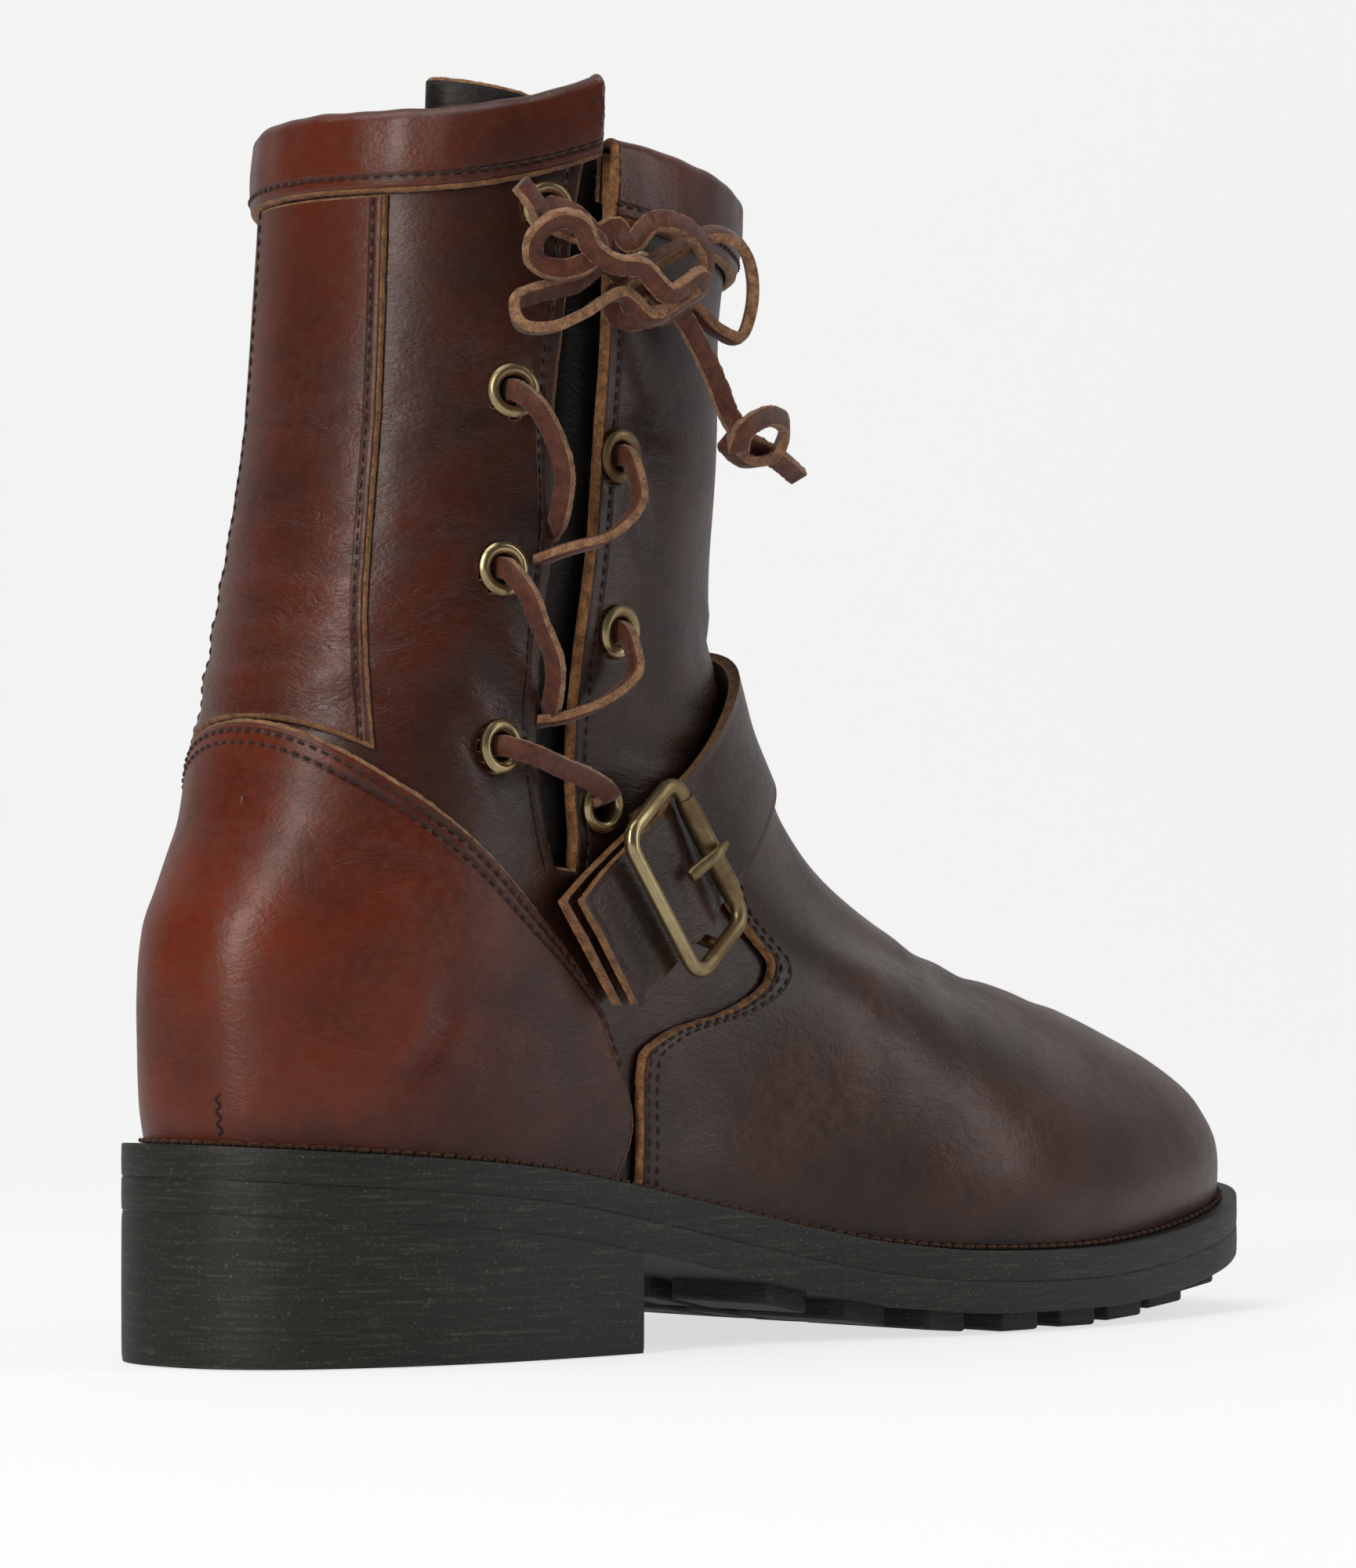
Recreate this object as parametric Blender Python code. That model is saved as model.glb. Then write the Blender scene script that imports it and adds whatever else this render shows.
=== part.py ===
"""Engineer boot for the right foot, standing empty on its sole.

Metres, +Z up, toe towards +Y, outer side of the foot towards +X. The origin is at the middle of
the heel's underside. Every panel is cut between offsets of one form, the outer face of the upper.
"""
import math
from collections import namedtuple

import bmesh
import bpy
import numpy as np
from mathutils import Vector

# Sole sizes
LENGTH = 0.298
BALL_WIDTH = 0.108
HEEL_LENGTH = 0.0895
HEEL_HEIGHT = 0.042
FORE_HEIGHT = 0.0165
TOE_RISE = 0.0105
MIDSOLE = 0.0063
OUTSOLE = 0.0062
LUG_HEIGHT = 0.004
LUG_LENGTH = 0.0115
LUG_GAP = 0.0080
LUG_SINK = 0.001
LUG_CHANNEL = 0.010
EDGE_MARGIN = 0.0045
OVERHANG = 0.0066
INSOLE = 0.004

# Upper sizes
INSTEP_HEIGHT = 0.125
RIM_HEIGHT = 0.236
WALL = 0.0024
PANEL = 0.0018
GAP = 0.0003
REAR_FLAP_RISE = 0.0130
FRONT_FLAP_RISE = 0.001
SLIT_BOTTOM = 0.094
CUFF_DEPTH = 0.0128
CUFF_TURN_IN = 0.0090
CUFF_LEATHER = 0.0020
BACKSTAY_WIDTH = 0.037
BACKSTAY_SPREAD = 0.018
BACKSTAY_LEATHER = 0.0015

# Gusset sizes
GUSSET_LEATHER = 0.0016
GUSSET_RISE = 0.012
GUSSET_DEPTH = 0.0125

# Hardware and strap sizes
EYELET_HOLE = 0.0060
EYELET_BARREL = 0.0070
EYELET_FLANGE = 0.0104
EYELET_LIP = 0.0010
EYELET_CUT = 0.0076
REAR_DROP = 0.0018
FRONT_DROP = 0.0041
STRAP_WIDTH = 0.025
STRAP_LEATHER = 0.0026
CHAPE_LEATHER = 0.0034
BUCKLE_WIRE = 0.0034
BUCKLE_BAR = 0.0026
BUCKLE_LENGTH = 0.0195
BUCKLE_WIDTH = 0.0335
BUCKLE_CORNER = 0.0040
PRONG_WIRE = 0.0022

# Lace sizes
LACE_WIDTH = 0.0030
LACE_THICK = 0.0023
LACE_ROUND = 0.0028
KNOT_WIDTH = 0.0120

# Mesh steps
LOOP_STEPS = 38
FOOT_ROW_STEP = 0.5
SHAFT_ROW_STEP = 0.9
PANEL_STEPS = 13
CORD_STEPS = 16
EYELET_STEPS = 12
SOLE_STEPS = 40

ORIGIN = Vector((0.0, HEEL_LENGTH / 2, 0.0))

# Loops of the upper from the sole's edge to the rim. Each runs from a point on the back profile to
# one on the front profile. Lengths along the foot are shares of LENGTH and half widths shares of
# BALL_WIDTH. Heights are shares of INSTEP_HEIGHT up to 1, and 1 to 2 from there to the rim.
# sag: how far the loop follows the sole's top line; square: fullness of its two ends.
Loop = namedtuple(
    "Loop",
    "back_y back_z front_y front_z sag square "
    "heel_out waist_out ball_out toe_out heel_in waist_in ball_in toe_in",
)
LOOPS = [
    Loop(0.0235, 0.34, 0.977, 0.21, 1.00, 2.60, 0.272, 0.311, 0.425, 0.318, 0.272, 0.256, 0.401, 0.308),
    Loop(0.0195, 0.40, 0.972, 0.29, 0.85, 2.60, 0.276, 0.318, 0.440, 0.334, 0.276, 0.273, 0.417, 0.327),
    Loop(0.0185, 0.46, 0.953, 0.36, 0.65, 2.55, 0.278, 0.316, 0.426, 0.324, 0.278, 0.285, 0.407, 0.320),
    Loop(0.0185, 0.53, 0.916, 0.43, 0.42, 2.50, 0.277, 0.312, 0.394, 0.272, 0.277, 0.291, 0.376, 0.267),
    Loop(0.0195, 0.59, 0.859, 0.49, 0.20, 2.42, 0.275, 0.308, 0.354, 0.216, 0.275, 0.294, 0.340, 0.212),
    Loop(0.0240, 0.66, 0.785, 0.532, 0.05, 2.36, 0.272, 0.305, 0.322, 0.188, 0.272, 0.295, 0.308, 0.184),
    Loop(0.0350, 0.715, 0.704, 0.580, 0.00, 2.30, 0.270, 0.302, 0.308, 0.180, 0.270, 0.296, 0.298, 0.176),
    Loop(0.0465, 0.77, 0.633, 0.648, 0.00, 2.24, 0.268, 0.302, 0.300, 0.182, 0.268, 0.298, 0.292, 0.178),
    Loop(0.0590, 0.83, 0.566, 0.745, 0.00, 2.20, 0.264, 0.303, 0.300, 0.190, 0.264, 0.300, 0.294, 0.186),
    Loop(0.0680, 0.92, 0.512, 0.870, 0.00, 2.16, 0.262, 0.308, 0.304, 0.202, 0.262, 0.306, 0.300, 0.199),
    Loop(0.0786, 1.03, 0.475, 1.000, 0.00, 2.12, 0.252, 0.320, 0.316, 0.213, 0.252, 0.318, 0.313, 0.211),
    Loop(0.0890, 1.16, 0.457, 1.160, 0.00, 2.10, 0.244, 0.334, 0.326, 0.221, 0.244, 0.332, 0.324, 0.219),
    Loop(0.1034, 1.33, 0.452, 1.330, 0.00, 2.10, 0.241, 0.349, 0.341, 0.233, 0.241, 0.347, 0.339, 0.231),
    Loop(0.1158, 1.50, 0.452, 1.500, 0.00, 2.10, 0.243, 0.361, 0.352, 0.243, 0.243, 0.359, 0.350, 0.241),
    Loop(0.1235, 1.70, 0.453, 1.680, 0.00, 2.10, 0.247, 0.370, 0.361, 0.249, 0.247, 0.368, 0.359, 0.247),
    Loop(0.1274, 1.87, 0.459, 1.805, 0.00, 2.10, 0.250, 0.373, 0.364, 0.252, 0.250, 0.371, 0.362, 0.250),
    Loop(0.1290, 2.00, 0.464, 1.890, 0.00, 2.10, 0.252, 0.374, 0.366, 0.254, 0.252, 0.372, 0.364, 0.252),
]
STATION_SHARES = (0.12, 0.38, 0.66, 0.88)
TOP_ROW = len(LOOPS) - 1

# Sole edge line: share of LENGTH, share of the drop from heel height to forefoot height.
SOLE_LINE = [(0.0, 1.0), (0.12, 0.90), (0.215, 0.79), (0.295, 0.635), (0.385, 0.42),
             (0.45, 0.255), (0.52, 0.105), (0.60, 0.02), (0.68, 0.0), (1.0, 0.0)]
TOE_LINE = [(0.0, 0.0), (0.70, 0.0), (0.80, 0.14), (0.90, 0.48), (1.0, 1.0)]

# Slit edges, as shares of the loop's length from back to front: height share, rear, front.
SLIT = [(0.74, 0.345, 0.375), (0.82, 0.352, 0.405), (1.0, 0.360, 0.435), (1.25, 0.370, 0.456),
        (1.50, 0.330, 0.433), (1.75, 0.342, 0.420), (2.00, 0.392, 0.402)]
SLIT_BACK_WEIGHT, SLIT_FRONT_WEIGHT = 0.62, 0.38

# Eyelet centres from the second pair down: height share, and place on the loop as a share. The
# first pair sits under the cuff: distance between cuff and eyelet, and place on the loop.
EYELETS_REAR = [(1.515, 0.243), (1.221, 0.264), (0.938, 0.272)]
EYELETS_FRONT = [(1.437, 0.486), (1.136, 0.530), (0.850, 0.466)]
FIRST_REAR = (REAR_DROP, 0.284)
FIRST_FRONT = (FRONT_DROP, 0.490)

# Counter's top edge, from the back centre to its front corner: share of LENGTH, height share.
COUNTER_EDGE = [(0.0, 0.975), (0.064, 0.958), (0.112, 0.890), (0.151, 0.820), (0.205, 0.710),
                (0.240, 0.634), (0.268, 0.550), (0.2825, 0.475)]
COUNTER_FRONT = 0.289
COUNTER_BULGE = 0.035
COUNTER_BACK = 0.38

# Vamp's rear edge: loop number, place on the loop as a share.
VAMP_EDGE = [(0.0, 0.302), (1.0, 0.306), (2.0, 0.312), (2.7, 0.322), (3.3, 0.360), (4.0, 0.446),
             (4.8, 0.520), (5.6, 0.564), (6.3, 0.580), (7.0, 0.594), (7.8, 0.640), (8.6, 0.720),
             (9.4, 0.850)]

# Strap's middle line seen from the side: it rises from the counter seam to the instep.
STRAP_FOOT = (0.2490, 0.605)
STRAP_SLOPE = math.radians(36.5)
# Layers along the strap, from its tail end (0) over the buckle and the instep to the inner seam
# (1): place along the strap, clearance under the strap in strap thicknesses.
STRAP_LIFT = [(0.0, 1.62), (0.06, 1.60), (0.095, 1.60), (0.118, 1.52), (0.135, 0.80),
              (0.148, 0.12), (0.17, 0.0), (1.0, 0.0)]
CHAPE_END = 0.098
BUCKLE_PLACE = 0.113

MATERIALS = {
    "leather": ((0.165, 0.040, 0.020), 0.35, 0.0),
    "gusset_leather": ((0.050, 0.040, 0.036), 0.55, 0.0),
    "black_sole": ((0.016, 0.017, 0.016), 0.55, 0.0),
    "insole_leather": ((0.45, 0.30, 0.18), 0.7, 0.0),
    "brass": ((0.30, 0.25, 0.14), 0.32, 1.0),
    "lace_leather": ((0.24, 0.11, 0.065), 0.6, 0.0),
}


# Curves through a few points

def smooth(points, at, column=1):
    """Monotone cubic through a short table: no overshoot between its rows."""
    xs = np.array([row[0] for row in points], float)
    ys = np.array([row[column] for row in points], float)
    at = np.clip(np.asarray(at, float), xs[0], xs[-1])
    step = np.diff(xs)
    slope = np.diff(ys) / step
    tangent = np.zeros(len(xs))
    tangent[0], tangent[-1] = slope[0], slope[-1]
    for i in range(1, len(xs) - 1):
        if slope[i - 1] * slope[i] > 0:
            a = 2 * step[i] + step[i - 1]
            b = step[i] + 2 * step[i - 1]
            tangent[i] = (a + b) / (a / slope[i - 1] + b / slope[i])
    k = np.clip(np.searchsorted(xs, at, side="right") - 1, 0, len(step) - 1)
    t = (at - xs[k]) / step[k]
    return ((1 + 2 * t) * (1 - t) ** 2 * ys[k] + t * (1 - t) ** 2 * step[k] * tangent[k]
            + t * t * (3 - 2 * t) * ys[k + 1] + t * t * (t - 1) * step[k] * tangent[k + 1])


def height_of(share):
    """A height share of the tables as a height."""
    return np.where(share <= 1, INSTEP_HEIGHT * share,
                    INSTEP_HEIGHT + (RIM_HEIGHT - INSTEP_HEIGHT) * (share - 1))


def sole_top(y):
    """Height of the midsole's top face at a place along the foot."""
    share = y / LENGTH
    drop = smooth(SOLE_LINE, share)
    rise = smooth(TOE_LINE, share)
    return FORE_HEIGHT + (HEEL_HEIGHT - FORE_HEIGHT) * drop + TOE_RISE * rise


# The upper's form

LOOP_TABLES = {
    field: [(row, getattr(loop, field)) for row, loop in enumerate(LOOPS)] for field in Loop._fields
}


def loop_value(field, row):
    return smooth(LOOP_TABLES[field], row)


def loop_point(row, turn):
    """Point of the upper's outer face. row counts loops up from the sole; turn is 0 at the back,
    half a turn at the toe, and passes the outer side first."""
    row, turn = np.broadcast_arrays(np.asarray(row, float), np.asarray(turn, float))
    share = (1 - np.cos(turn)) / 2
    back_y, front_y = loop_value("back_y", row) * LENGTH, loop_value("front_y", row) * LENGTH
    back_z = height_of(loop_value("back_z", row))
    front_z = height_of(loop_value("front_z", row))
    y = back_y + (front_y - back_y) * share
    chord = back_z + (front_z - back_z) * share
    base_z = height_of(LOOPS[0].back_z + (LOOPS[0].front_z - LOOPS[0].back_z) * share)
    z = chord + loop_value("sag", row) * (sole_top(y) + GAP - base_z)
    square = loop_value("square", row)
    end = np.maximum(1 - np.abs(np.cos(turn)) ** square, 0) ** (1 / square)
    outer = np.sin(turn) >= 0
    width = np.zeros_like(share)
    for side, mask in (("out", outer), ("in", ~outer)):
        fields = [f"{name}_{side}" for name in ("heel", "waist", "ball", "toe")]
        gains = []
        for field, station in zip(fields, STATION_SHARES):
            full = (1 - abs(2 * station - 1) ** square) ** (1 / square)
            gains.append(loop_value(field, row) * BALL_WIDTH / full)
        width = np.where(mask, blend_stations(gains, share), width)
    x = np.where(outer, 1, -1) * width * end
    return np.stack([x, y, z], axis=-1)


def blend_stations(values, share):
    """Smooth curve through the values at the four stations, level past the outer two."""
    s = STATION_SHARES
    share = np.clip(share, s[0], s[-1])
    tangents = [0 * values[0]]
    for i in (1, 2):
        left = (values[i] - values[i - 1]) / (s[i] - s[i - 1])
        right = (values[i + 1] - values[i]) / (s[i + 1] - s[i])
        tangents.append((left + right) / 2)
    tangents.append(0 * values[0])
    result = values[0] + 0 * share
    for i in range(3):
        step = s[i + 1] - s[i]
        t = np.clip((share - s[i]) / step, 0, 1)
        part = ((1 + 2 * t) * (1 - t) ** 2 * values[i] + t * (1 - t) ** 2 * step * tangents[i]
                + t * t * (3 - 2 * t) * values[i + 1] + t * t * (t - 1) * step * tangents[i + 1])
        result = np.where(share >= s[i], part, result)
    return result


def rim_lift(row, turn):
    """The rear flap's rim rises to the slit; the front flap's starts a little lower."""
    grow = np.clip((row - (TOP_ROW - 6)) / 6, 0, 1)
    share = (1 - np.cos(turn)) / 2
    outer = np.sin(turn) > 0
    slit = smooth([(r[0], r[1]) for r in SLIT], 2.0)
    rear = REAR_FLAP_RISE * np.clip(share / slit, 0, 1) ** 1.6
    front = FRONT_FLAP_RISE * np.clip((1 - share) / (1 - slit), 0, 1)
    inner = FRONT_FLAP_RISE * np.sin(math.pi * np.clip(share, 0, 1))
    return grow * np.where(outer, np.where(share <= slit + 0.004, rear, front), inner)


def on_upper(row, turn, out=0.0):
    """Point at a distance out from the upper's outer face, along its normal."""
    row, turn = np.broadcast_arrays(np.clip(np.asarray(row, float), 0, TOP_ROW),
                                    np.asarray(turn, float))
    step_row, step_turn = 0.05, 0.02
    low, high = np.maximum(row - step_row, 0), np.minimum(row + step_row, TOP_ROW)
    along = loop_point(row, turn + step_turn) - loop_point(row, turn - step_turn)
    up = loop_point(high, turn) - loop_point(low, turn)
    normal = np.cross(along, up)
    normal /= np.linalg.norm(normal, axis=-1, keepdims=True)
    point = loop_point(row, turn) + normal * np.asarray(out)[..., None]
    point[..., 2] += rim_lift(row, turn)
    return point


def turn_at(share, inner=False):
    """Turn of a place given as a share of the loop, on the outer or inner side of the foot."""
    turn = np.arccos(1 - 2 * np.clip(share, 0, 1))
    return -turn if inner else turn


def row_at_height(share, height):
    """Loop number at which a place on the side of the upper has a height."""
    low, high = np.zeros_like(share), np.full_like(share, TOP_ROW)
    for _ in range(30):
        middle = (low + high) / 2
        above = loop_point(middle, turn_at(share))[..., 2] > height
        low, high = np.where(above, low, middle), np.where(above, middle, high)
    return (low + high) / 2


def row_of_side_view(y, z):
    """Loop number and share of a place given by its side view."""
    y, z = np.broadcast_arrays(np.asarray(y, float), np.asarray(z, float))
    low, high = np.zeros(y.shape), np.full(y.shape, float(TOP_ROW))

    def share_of(row):
        back, front = loop_value("back_y", row) * LENGTH, loop_value("front_y", row) * LENGTH
        return np.clip((y - back) / (front - back), 0, 1)

    for _ in range(34):
        middle = (low + high) / 2
        above = loop_point(middle, turn_at(share_of(middle)))[..., 2] > z
        low, high = np.where(above, low, middle), np.where(above, middle, high)
    row = (low + high) / 2
    return row, share_of(row)


def front_profile(z):
    """Place along the foot of the front profile at a height."""
    rows = np.linspace(0, TOP_ROW, 200)
    heights = height_of(loop_value("front_z", rows))
    return np.interp(z, heights, loop_value("front_y", rows) * LENGTH)


# Meshes

def material(name):
    found = bpy.data.materials.get(name)
    if found:
        return found
    colour, roughness, metallic = MATERIALS[name]
    made = bpy.data.materials.new(name)
    made.use_nodes = True
    shader = made.node_tree.nodes["Principled BSDF"]
    shader.inputs["Base Color"].default_value = (*colour, 1)
    shader.inputs["Roughness"].default_value = roughness
    shader.inputs["Metallic"].default_value = metallic
    made.diffuse_color = (*colour, 1)
    return made


def add_object(name, mesh, finish):
    piece = bpy.data.objects.new(name, mesh)
    bpy.context.collection.objects.link(piece)
    mesh.materials.append(material(finish))
    return piece


def solid(name, points, faces, finish, smooth_angle=40.0):
    """Closed solid with its faces turned out, moved to the boot's origin."""
    mesh = bpy.data.meshes.new(name)
    mesh.from_pydata([tuple(Vector(p) - ORIGIN) for p in points], [], faces)
    work = bmesh.new()
    work.from_mesh(mesh)
    bmesh.ops.recalc_face_normals(work, faces=work.faces)
    if work.calc_volume(signed=True) < 0:
        bmesh.ops.reverse_faces(work, faces=work.faces)
    work.to_mesh(mesh)
    work.free()
    mesh.shade_smooth()
    mesh.set_sharp_from_angle(angle=math.radians(smooth_angle))
    return add_object(name, mesh, finish)


def sheet_faces(rows, columns, closed, offset, holes=()):
    faces = []
    last = columns if closed else columns - 1
    for i in range(rows - 1):
        for j in range(last):
            if (i, j) in holes:
                continue
            k = (j + 1) % columns
            faces.append([offset + i * columns + j, offset + i * columns + k,
                          offset + (i + 1) * columns + k, offset + (i + 1) * columns + j])
    return faces


def shell(name, outer, inner, finish, closed=False, holes=()):
    """Solid between two grids of points; every edge that only one cell uses gets a rim."""
    rows, columns = outer.shape[:2]
    count = rows * columns
    top = sheet_faces(rows, columns, closed, 0, holes)
    bottom = [face[::-1] for face in sheet_faces(rows, columns, closed, count, holes)]
    uses = {}
    for face in top:
        for a, b in zip(face, face[1:] + face[:1]):
            uses[(a, b)] = True
    rim = [[b, a, a + count, b + count] for a, b in uses if (b, a) not in uses]
    points = np.concatenate([outer.reshape(-1, 3), inner.reshape(-1, 3)])
    used = sorted({v for face in top + bottom for v in face})
    place = {old: new for new, old in enumerate(used)}
    faces = [[place[v] for v in face] for face in top + bottom + rim]
    return solid(name, points[used], faces, finish)


def panel(name, rows, turns, low, high, finish):
    """Panel cut between two offsets of the upper's outer face."""
    return shell(name, on_upper(rows, turns, high), on_upper(rows, turns, low), finish)


def frames_along(path, up):
    """Side and up vectors of a strip that follows a path."""
    tangent = np.gradient(path, axis=0)
    tangent /= np.linalg.norm(tangent, axis=1, keepdims=True)
    side = np.cross(tangent, up)
    side /= np.linalg.norm(side, axis=1, keepdims=True)
    return side, np.cross(side, tangent)


def strip(name, path, up, width, thick, finish):
    """Flat strip of leather along a path."""
    side, lift = frames_along(path, up)
    corners = [path + side * width * a / 2 + lift * thick * b / 2
               for a, b in ((-1, -1), (1, -1), (1, 1), (-1, 1))]
    points = np.stack(corners, axis=1).reshape(-1, 3)
    count = len(path)
    faces = [[4 * i + k, 4 * i + (k + 1) % 4, 4 * i + 4 + (k + 1) % 4, 4 * i + 4 + k]
             for i in range(count - 1) for k in range(4)]
    faces += [[3, 2, 1, 0], [4 * count - 4 + k for k in range(4)]]
    return solid(name, points, faces, finish)


def curve_through(points, steps):
    """Even points on a smooth curve through a route."""
    points = np.asarray(points, float)
    gaps = np.linalg.norm(np.diff(points, axis=0), axis=1)
    along = np.concatenate([[0], np.cumsum(np.sqrt(gaps))])
    tangent = np.gradient(points, along, axis=0)
    fine = np.linspace(0, along[-1], 400)
    k = np.clip(np.searchsorted(along, fine, side="right") - 1, 0, len(along) - 2)
    step = (along[k + 1] - along[k])[:, None]
    t = (fine - along[k])[:, None] / step
    path = ((1 + 2 * t) * (1 - t) ** 2 * points[k] + t * (1 - t) ** 2 * step * tangent[k]
            + t * t * (3 - 2 * t) * points[k + 1] + t * t * (t - 1) * step * tangent[k + 1])
    length = np.concatenate([[0], np.cumsum(np.linalg.norm(np.diff(path, axis=0), axis=1))])
    even = np.linspace(0, length[-1], steps)
    return np.stack([np.interp(even, length, path[:, axis]) for axis in range(3)], axis=1)


def union(target, others):
    """Joins other objects to a solid and removes them."""
    for other in others:
        join = target.modifiers.new(other.name, "BOOLEAN")
        join.operation = "UNION"
        join.solver = "EXACT"
        join.object = other
    bake(target)
    for other in others:
        bpy.data.objects.remove(other, do_unlink=True)


def bake(target):
    """Keeps the mesh that the modifiers give."""
    view = bpy.context.evaluated_depsgraph_get()
    view.update()
    mesh = bpy.data.meshes.new_from_object(target.evaluated_get(view))
    target.modifiers.clear()
    target.data = mesh


# Sole

def sole_outline():
    """Outer and inner half of the sole's outline, from the back of the heel to the toe."""
    turns = np.linspace(0, math.pi, SOLE_STEPS)
    return on_sole_edge(turns, OVERHANG), on_sole_edge(-turns, OVERHANG)


def on_sole_edge(turn, grow):
    """The upper's lowest loop, grown outwards in plan."""
    step = 0.01
    point = loop_point(0, turn)
    along = loop_point(0, turn + step) - loop_point(0, turn - step)
    normal = np.stack([along[:, 1], -along[:, 0], 0 * along[:, 0]], axis=1)
    normal /= np.linalg.norm(normal, axis=1, keepdims=True)
    return point + normal * grow


def layer(name, outer, inner, top, bottom, finish):
    """Sole layer between two height functions, as strips across the foot."""
    count = len(outer)
    points = []
    for height in (top, bottom):
        for edge in (outer, inner):
            for p in edge:
                points.append((p[0], p[1], float(height(p[1]))))
    faces = []
    for base, turn_over in ((0, False), (2 * count, True)):
        for i in range(count - 1):
            a, b = base + i, base + count + i
            if i == 0:
                face = [a, a + 1, b + 1]
            elif i == count - 2:
                face = [a, a + 1, b]
            else:
                face = [a, a + 1, b + 1, b]
            faces.append(face[::-1] if turn_over else face)
    for edge in (0, count):
        for i in range(count - 1):
            a = edge + i
            faces.append([a, a + 1, a + 1 + 2 * count, a + 2 * count])
    merged = weld(points, faces)
    return solid(name, *merged, finish, smooth_angle=30.0)


def weld(points, faces):
    """Joins points that share a place and drops sides that shrink to nothing."""
    keys, place, kept = {}, [], []
    for p in points:
        key = tuple(round(float(v) * 1e7) for v in p)
        if key not in keys:
            keys[key] = len(kept)
            kept.append(p)
        place.append(keys[key])
    result = []
    for face in faces:
        ring = []
        for v in face:
            if place[v] not in ring:
                ring.append(place[v])
        if len(ring) > 2:
            result.append(ring)
    return kept, result


def under_midsole(y):
    return sole_top(y) - MIDSOLE


def under_outsole(y):
    return np.maximum(under_midsole(y) - GAP - OUTSOLE, LUG_HEIGHT)


def make_midsole():
    outer, inner = sole_outline()
    return layer("midsole", outer, inner, sole_top, under_midsole, "black_sole")


def half_width(edge, y):
    """Half width of an outline at a place along the foot."""
    return np.interp(y, edge[:, 1], np.abs(edge[:, 0]))


def make_outsole():
    outer, inner = sole_outline()
    plate = layer("outsole", outer, inner, lambda y: under_midsole(y) - GAP, under_outsole,
                  "black_sole")
    union(plate, make_lugs(outer, inner))
    return plate


def make_lugs(outer, inner):
    """Rows of blocks under the forefoot, outer, middle and inner, that follow the toe's rise."""
    lugs = []
    pitch = LUG_LENGTH + LUG_GAP
    start, end = HEEL_LENGTH + 0.125 * LENGTH, LENGTH - 2.4 * LUG_LENGTH
    rows = int((end - start) / pitch) + 1
    for number in range(rows):
        y0 = start + number * pitch
        y1 = y0 + LUG_LENGTH
        widths = [min(half_width(edge, y0), half_width(edge, y1)) - EDGE_MARGIN
                  for edge in (outer, inner)]
        bars = [(LUG_CHANNEL, widths[0]), (-LUG_CHANNEL / 2, LUG_CHANNEL / 2),
                (-widths[1], -LUG_CHANNEL)]
        for side, (x0, x1) in enumerate(bars):
            points = []
            for y in (y0, y1):
                base = float(under_outsole(y))
                for x, z in ((x0, base - LUG_HEIGHT), (x1, base - LUG_HEIGHT),
                             (x1, base + LUG_SINK), (x0, base + LUG_SINK)):
                    points.append((x, y, z))
            faces = [[0, 1, 2, 3], [7, 6, 5, 4]]
            faces += [[k, k + 4, (k + 1) % 4 + 4, (k + 1) % 4] for k in range(4)]
            lugs.append(solid(f"lug_{number}_{side}", points, faces, "black_sole"))
    return lugs


def make_heel():
    outer, inner = sole_outline()
    cut = []
    for edge in (outer, inner):
        before = edge[edge[:, 1] < HEEL_LENGTH - GAP]
        x = np.interp(HEEL_LENGTH, edge[:, 1], edge[:, 0])
        cut.append(np.vstack([before, [(x, HEEL_LENGTH, 0.0)]]))
    count = min(len(cut[0]), len(cut[1]))
    outer, inner = [np.vstack([edge[:count - 1], edge[-1:]]) for edge in cut]
    points = []
    for height in (lambda y: float(under_outsole(y)) - GAP, lambda y: 0.0):
        for edge in (outer, inner):
            points += [(p[0], p[1], height(p[1])) for p in edge]
    ring = list(range(count)) + list(range(2 * count - 1, count, -1))
    faces = []
    for base in (0, 2 * count):
        for i in range(count - 1):
            faces.append([base + i, base + i + 1, base + count + i + 1, base + count + i])
    for a, b in zip(ring, ring[1:] + ring[:1]):
        faces.append([a, b, b + 2 * count, a + 2 * count])
    return solid("heel", *weld(points, faces), "black_sole", smooth_angle=30.0)


def make_insole():
    turns = np.linspace(0, math.pi, 34)
    outer = on_sole_edge(turns, -(WALL + 4 * GAP))
    inner = on_sole_edge(-turns, -(WALL + 4 * GAP))
    return layer("insole", outer, inner, lambda y: sole_top(y) + GAP + INSOLE,
                 lambda y: sole_top(y) + GAP, "insole_leather")


# Upper

def slit_shares(row):
    """Rear and front edge of the slit on a loop."""
    share = smooth([(r, h) for r, h in zip(range(TOP_ROW + 1), slit_heights())], row)
    return smooth(SLIT, share, 1), smooth(SLIT, share, 2)


def slit_heights():
    """Height share of each loop where the slit crosses it."""
    return [SLIT_BACK_WEIGHT * loop.back_z + SLIT_FRONT_WEIGHT * loop.front_z for loop in LOOPS]


def slit_row():
    """Loop number of the slit's lower end."""
    rows = np.linspace(0, TOP_ROW, 400)
    middle = height_of(SLIT_BACK_WEIGHT * loop_value("back_z", rows)
                       + SLIT_FRONT_WEIGHT * loop_value("front_z", rows))
    return float(np.interp(SLIT_BOTTOM, middle, rows))


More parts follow.
